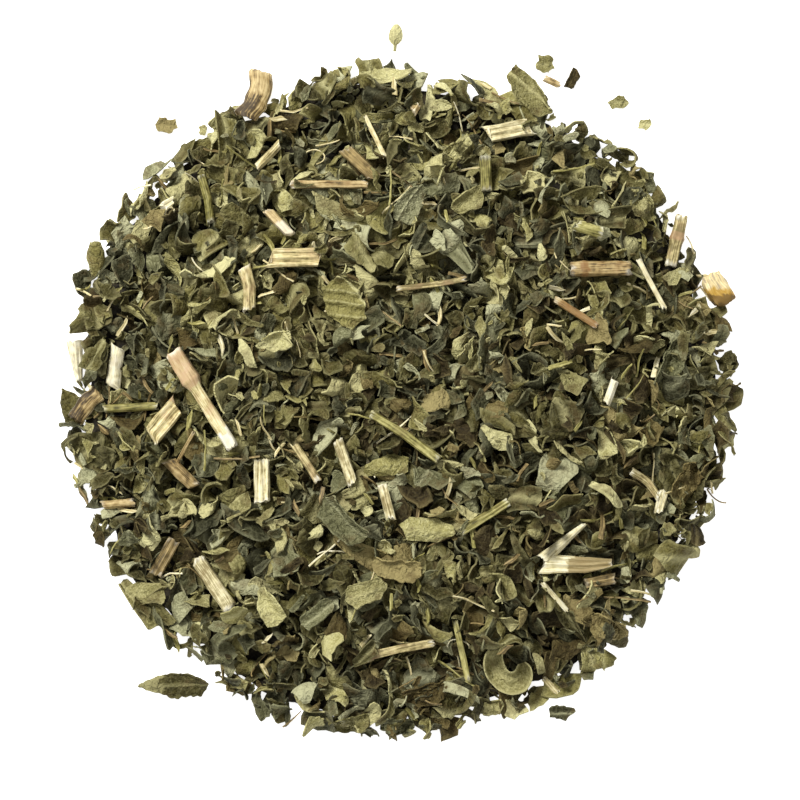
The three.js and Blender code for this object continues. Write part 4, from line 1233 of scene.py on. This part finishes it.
# smaller whole pieces that lie on the bed: where, heading, length, width and form as above, in mm and
# degrees
BED_LEAVES = {
    "leaf_olive": [
        ((35.5, 28.7), -70, 6.0, 4.2, 5, 0.12, 0.1, 1.6, 0.1, 1, 5, 0.35, 0.6),
        ((8.6, 36.1), 20, 5.0, 3.6, 5, 0.0, 0.3, 1.6, 0.1, 1, 3, 0.4, 0.65),
        ((-7.0, -46.6), 10, 6.5, 3.2, 5, 0.06, 0.2, 1.6, 0.15, 1, 4, 0.4, 0.4),
    ],
    "leaf_grey_green": [
        ((39.0, 5.4), 65, 7.6, 4.2, 5, 0.08, 0.3, 1.6, 0.15, 1, 5, 0.4, 0.5),
        ((0.0, -46.8), -5, 5.0, 3.0, 5, 0.06, 0.2, 1.6, 0.15, 1, 4, 0.4, 0.35),
    ],
    "leaf_brown": [
        ((4.1, -41.9), 15, 7.0, 4.0, 5, 0.08, 0.3, 1.6, 0.15, 1, 5, 0.5, 0.3),
        ((41.0, -12.0), 60, 7.0, 4.4, 5, 0.08, 0.3, 1.6, 0.15, 1, 5, 0.5, 0.55),
        ((25.2, 46.6), 60, 3.4, 2.2, 5, 0.05, 0.3, 1.6, 0.15, 1, 2, 0.5, 0.2),
    ],
}
for slot, forms in BED_LEAVES.items():
    for seed, (place, heading, length, width, *form, shade) in enumerate(forms):
        bm = leaf_blade(40 + seed, length * MM, width * MM, *form)
        drape(bm, Vector((*place, 0)) * MM, math.radians(heading), ground_bed)
        keep_leaf(bm, f"bed_{slot}_{seed + 1}", "leaf_bed", slot, shade)

# ---------------------------------------------------------------- leaf dried into a ring
# One blade has rolled into an open ring, light olive, with ribs that follow the ring and a pale outer edge.
RING_NODE = "leaf_curled_06"
# round its hole: degrees, and how far the blade's inner and outer edges lie, as shares of the ring's radius
RING_EDGES = [
    (116, 0.85, 1.02), (135, 0.6, 1.22), (150, 0.42, 1.24), (180, 0.28, 1.14), (225, 0.24, 1.06),
    (270, 0.24, 1.18), (300, 0.24, 1.14), (330, 0.24, 0.99), (360, 0.27, 0.8), (378, 0.36, 0.6),
]

ring_low, ring_high = (Vector(corner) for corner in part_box(RING_NODE))
ring_radius = (ring_high.x - ring_low.x) / 2
ring_middle = (ring_low + ring_high) / 2
ring_hole = ring_middle + Vector((0.15, 0.38, 0)) * ring_radius
bm, rim, rib, _ = new_piece(*LEAF_LAYERS)
bmesh.ops.create_grid(bm, x_segments=80, y_segments=18, size=0.5)
map_flat(bm, bm.verts, lambda co: (co.x * 8, co.y * 2.4))
for vert in bm.verts:
    vert[rim] = vert.is_boundary
    share, out = vert.co.x + 0.5, vert.co.y + 0.5
    degrees = RING_EDGES[0][0] + share * (RING_EDGES[-1][0] - RING_EDGES[0][0])
    inner, outer = (np.interp(degrees, *np.array(RING_EDGES).T[[0, k]]) for k in (1, 2))
    uneven = 1 + 0.03 * noise.noise(Vector((6 * share, out, 2)))
    radius = (inner + (outer - inner) * out) * uneven * ring_radius
    at_edge, at_hole = max(0, out - 0.88) / 0.12, max(0, 0.16 - out) / 0.16
    lower = math.exp(-(((degrees - 265) / 55) ** 2))  # it is folded in rings on its lower side
    fold = math.sin(2 * math.pi * (2.6 * out + 0.3 * share)) * (1 - out) * lower
    vert[rib] = 0.55 * max(0, fold) + 1.0 * at_edge + 0.9 * at_hole
    swell = 1.3 + 0.7 * (2 * out - 1) ** 2 - 0.5 * out + 0.25 * math.sin(math.radians(3 * degrees)) * out
    edges = 0.22 * fold + 0.3 * at_edge + 0.3 * at_hole + 0.25 * noise.noise(Vector((5 * share, 2 * out, 0)))
    rise = ring_low.z + swell * MM + edges * MM
    vert.co = ring_hole + pointing(math.radians(degrees)) * radius
    beyond = math.hypot(vert.co.x - ring_middle.x, vert.co.y - ring_middle.y) - 0.75 * ring_radius
    vert.co.z = rise + 0.8 * max(0, beyond)
keep_leaf(bm, "ring_leaf", RING_NODE, slot_of[RING_NODE], 0.64)

# ---------------------------------------------------------------- crumbs beside the heap
# Small torn scraps that lie on the sheet by themselves, and a bud that fell from a flower head with its
# stalk.
CRUMB_SIDES = 6
CRUMB_SHADES = (0.85, 0.5, 0.55, 0.7, 0.15)
for seed, name in enumerate(n for n in LOOSE if n.startswith("crumb_")):
    low, high = (Vector(corner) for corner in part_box(name))
    size, middle = high - low, (low + high) / 2
    draw = np.random.default_rng(300 + seed)
    bm, rim, rib, _ = new_piece(*LEAF_LAYERS)
    bmesh.ops.create_grid(bm, x_segments=14, y_segments=10, size=0.5)
    bmesh.ops.scale(bm, vec=(size.x, size.y, 1), verts=bm.verts)
    for k in range(CRUMB_SIDES):
        angle = 2 * math.pi * (k + draw.uniform(0, 0.8)) / CRUMB_SIDES
        tear_off(bm, size.x, size.y, angle, draw.uniform(0.7, 1))
    for vert in bm.verts:
        vert[rim] = vert.is_boundary
        vert.co.xy += 0.16 * size.y * noise.noise_vector(vert.co / (0.7 * MM) + Vector((seed, 0, 0))).xy
        vert[rib] = math.exp(-((vert.co.y / (0.15 * MM)) ** 2))
    map_flat(bm, bm.verts, lambda co: co.xy / MM)
    for vert in bm.verts:
        fold = 0.25 * abs(vert.co.y) + 0.25 * MM * noise.noise(vert.co / (1.1 * MM) + Vector((0, seed, 0)))
        level = low.z + max(0.25 * MM, 0.45 * MM + fold)
        vert.co = Vector((middle.x + vert.co.x, middle.y + vert.co.y, level))
    keep_leaf(bm, name.replace("crumb", "stray_crumb"), name, slot_of[name], CRUMB_SHADES[seed])

BUD_NODE = "flower_bud"
BUD_RIBS = 10
BUD_STALK = 0.28  # share of its length that is stalk
BUD_DRAW = 0.4
# radius at places from the stalk's end to the bud's mouth, as shares of its width and length
BUD_PROFILE = [
    (0, 0.12), (0.24, 0.13), (0.3, 0.3), (0.42, 0.46), (0.62, 0.5), (0.8, 0.42), (0.93, 0.3), (1, 0.16),
]

bud_low, bud_high = (Vector(corner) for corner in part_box(BUD_NODE))
bud_size = bud_high - bud_low
bm, _, rib, draw = new_piece(*LEAF_LAYERS)
bmesh.ops.create_grid(bm, x_segments=24, y_segments=30, size=0.5)
map_flat(bm, bm.verts, lambda co: (co.x * 4, co.y * 5))
for vert in bm.verts:
    share, angle = vert.co.x + 0.5, 2 * math.pi * vert.co.y
    radius = np.interp(share, *np.array(BUD_PROFILE).T) * min(bud_size.x, bud_size.z)
    ridge = math.cos(BUD_RIBS * angle)
    uneven = 0.07 * ridge + 0.1 * noise.noise(Vector((share * 5, math.cos(angle), math.sin(angle))))
    vert[rib] = max(0, ridge) * (share > BUD_STALK)
    radius *= 1 + uneven * (share > BUD_STALK)
    vert.co = Vector((
        (bud_low.x + bud_high.x) / 2 + radius * math.cos(angle) + 0.25 * MM * (share - 0.5),
        bud_low.y + share * bud_size.y,
        bud_low.z + 0.5 * bud_size.z + 0.92 * radius * math.sin(angle),
    ))
bmesh.ops.remove_doubles(bm, verts=bm.verts, dist=0.004 * MM)
bmesh.ops.holes_fill(bm, edges=[e for e in bm.edges if e.is_boundary], sides=0)
bmesh.ops.recalc_face_normals(bm, faces=bm.faces[:])
for vert in bm.verts:
    vert[draw] = BUD_DRAW
for face in bm.faces:
    face.smooth = True
stand_in(keep_mesh(bm, "fallen_bud", leaf_finishes["yellow_green"]), BUD_NODE, slot_of[BUD_NODE])

# ---------------------------------------------------------------- the bed in its four tones
# Old and young leaves, tops and undersides dry to different colours, so the flakes are shared out between
# four tones and joined in one piece for each.
TONE_SHARES = {"grey_green": 0.315, "olive": 0.385, "yellow_green": 0.17, "brown": 0.13}
tone_draw = np.random.default_rng(7)


def join_flakes(name, copies, finish, slot):
    """One piece out of many laid flakes, each with a random shade of its own."""
    bm = bmesh.new()
    for flake, matrix in copies:
        copy = flake.mesh.copy()
        copy.transform(matrix)
        draw = copy.attributes.new("draw", "FLOAT", "POINT")
        draw.data.foreach_set("value", np.full(len(copy.vertices), tone_draw.uniform(), dtype=np.float32))
        bm.from_mesh(copy)
        bpy.data.meshes.remove(copy)
    stand_in(keep_mesh(bm, name, finish), "leaf_bed", slot)


woody = flakes["thread"] + flakes["chip"]
blades = [fall for fall in laid if fall[0] not in woody]
tone_of = []
# the top of the heap holds more of the palest leaf, and its lower right more of the brown
for _, matrix in blades:
    x, y, _ = matrix.translation
    chances = np.array(list(TONE_SHARES.values()))
    chances[2] *= max(0.4, 1 + 1.6 * y / HEAP_RADIUS)
    chances[3] *= max(0.4, 1 + 1.3 * (x - y) / (1.4 * HEAP_RADIUS))
    tone_of.append(list(TONE_SHARES)[tone_draw.choice(4, p=chances / chances.sum())])
for tone in TONE_SHARES:
    own = [fall for fall, its in zip(blades, tone_of) if its == tone]
    join_flakes(f"leaf_flakes_{tone}", own, leaf_finishes[tone], f"leaf_{tone}")

# ---------------------------------------------------------------- stalks and splinters among the flakes
# Leaf stalks, ribs stripped of their blade, and splinters of stem lie all through the heap, straw or green.
SPLINTER_SHARES = {"stem_green": 0.42, "stem_brown": 0.28, "stem_straw": 0.22, "stem_cream": 0.08}

splinters = [fall for fall in laid if fall[0] in woody]
finish_of = tone_draw.choice(list(SPLINTER_SHARES), len(splinters), p=list(SPLINTER_SHARES.values()))
for slot in SPLINTER_SHARES:
    own = [fall for fall, its in zip(splinters, finish_of) if its == slot]
    join_flakes(slot.replace("stem", "splinters"), own, stem_finishes[slot], slot)
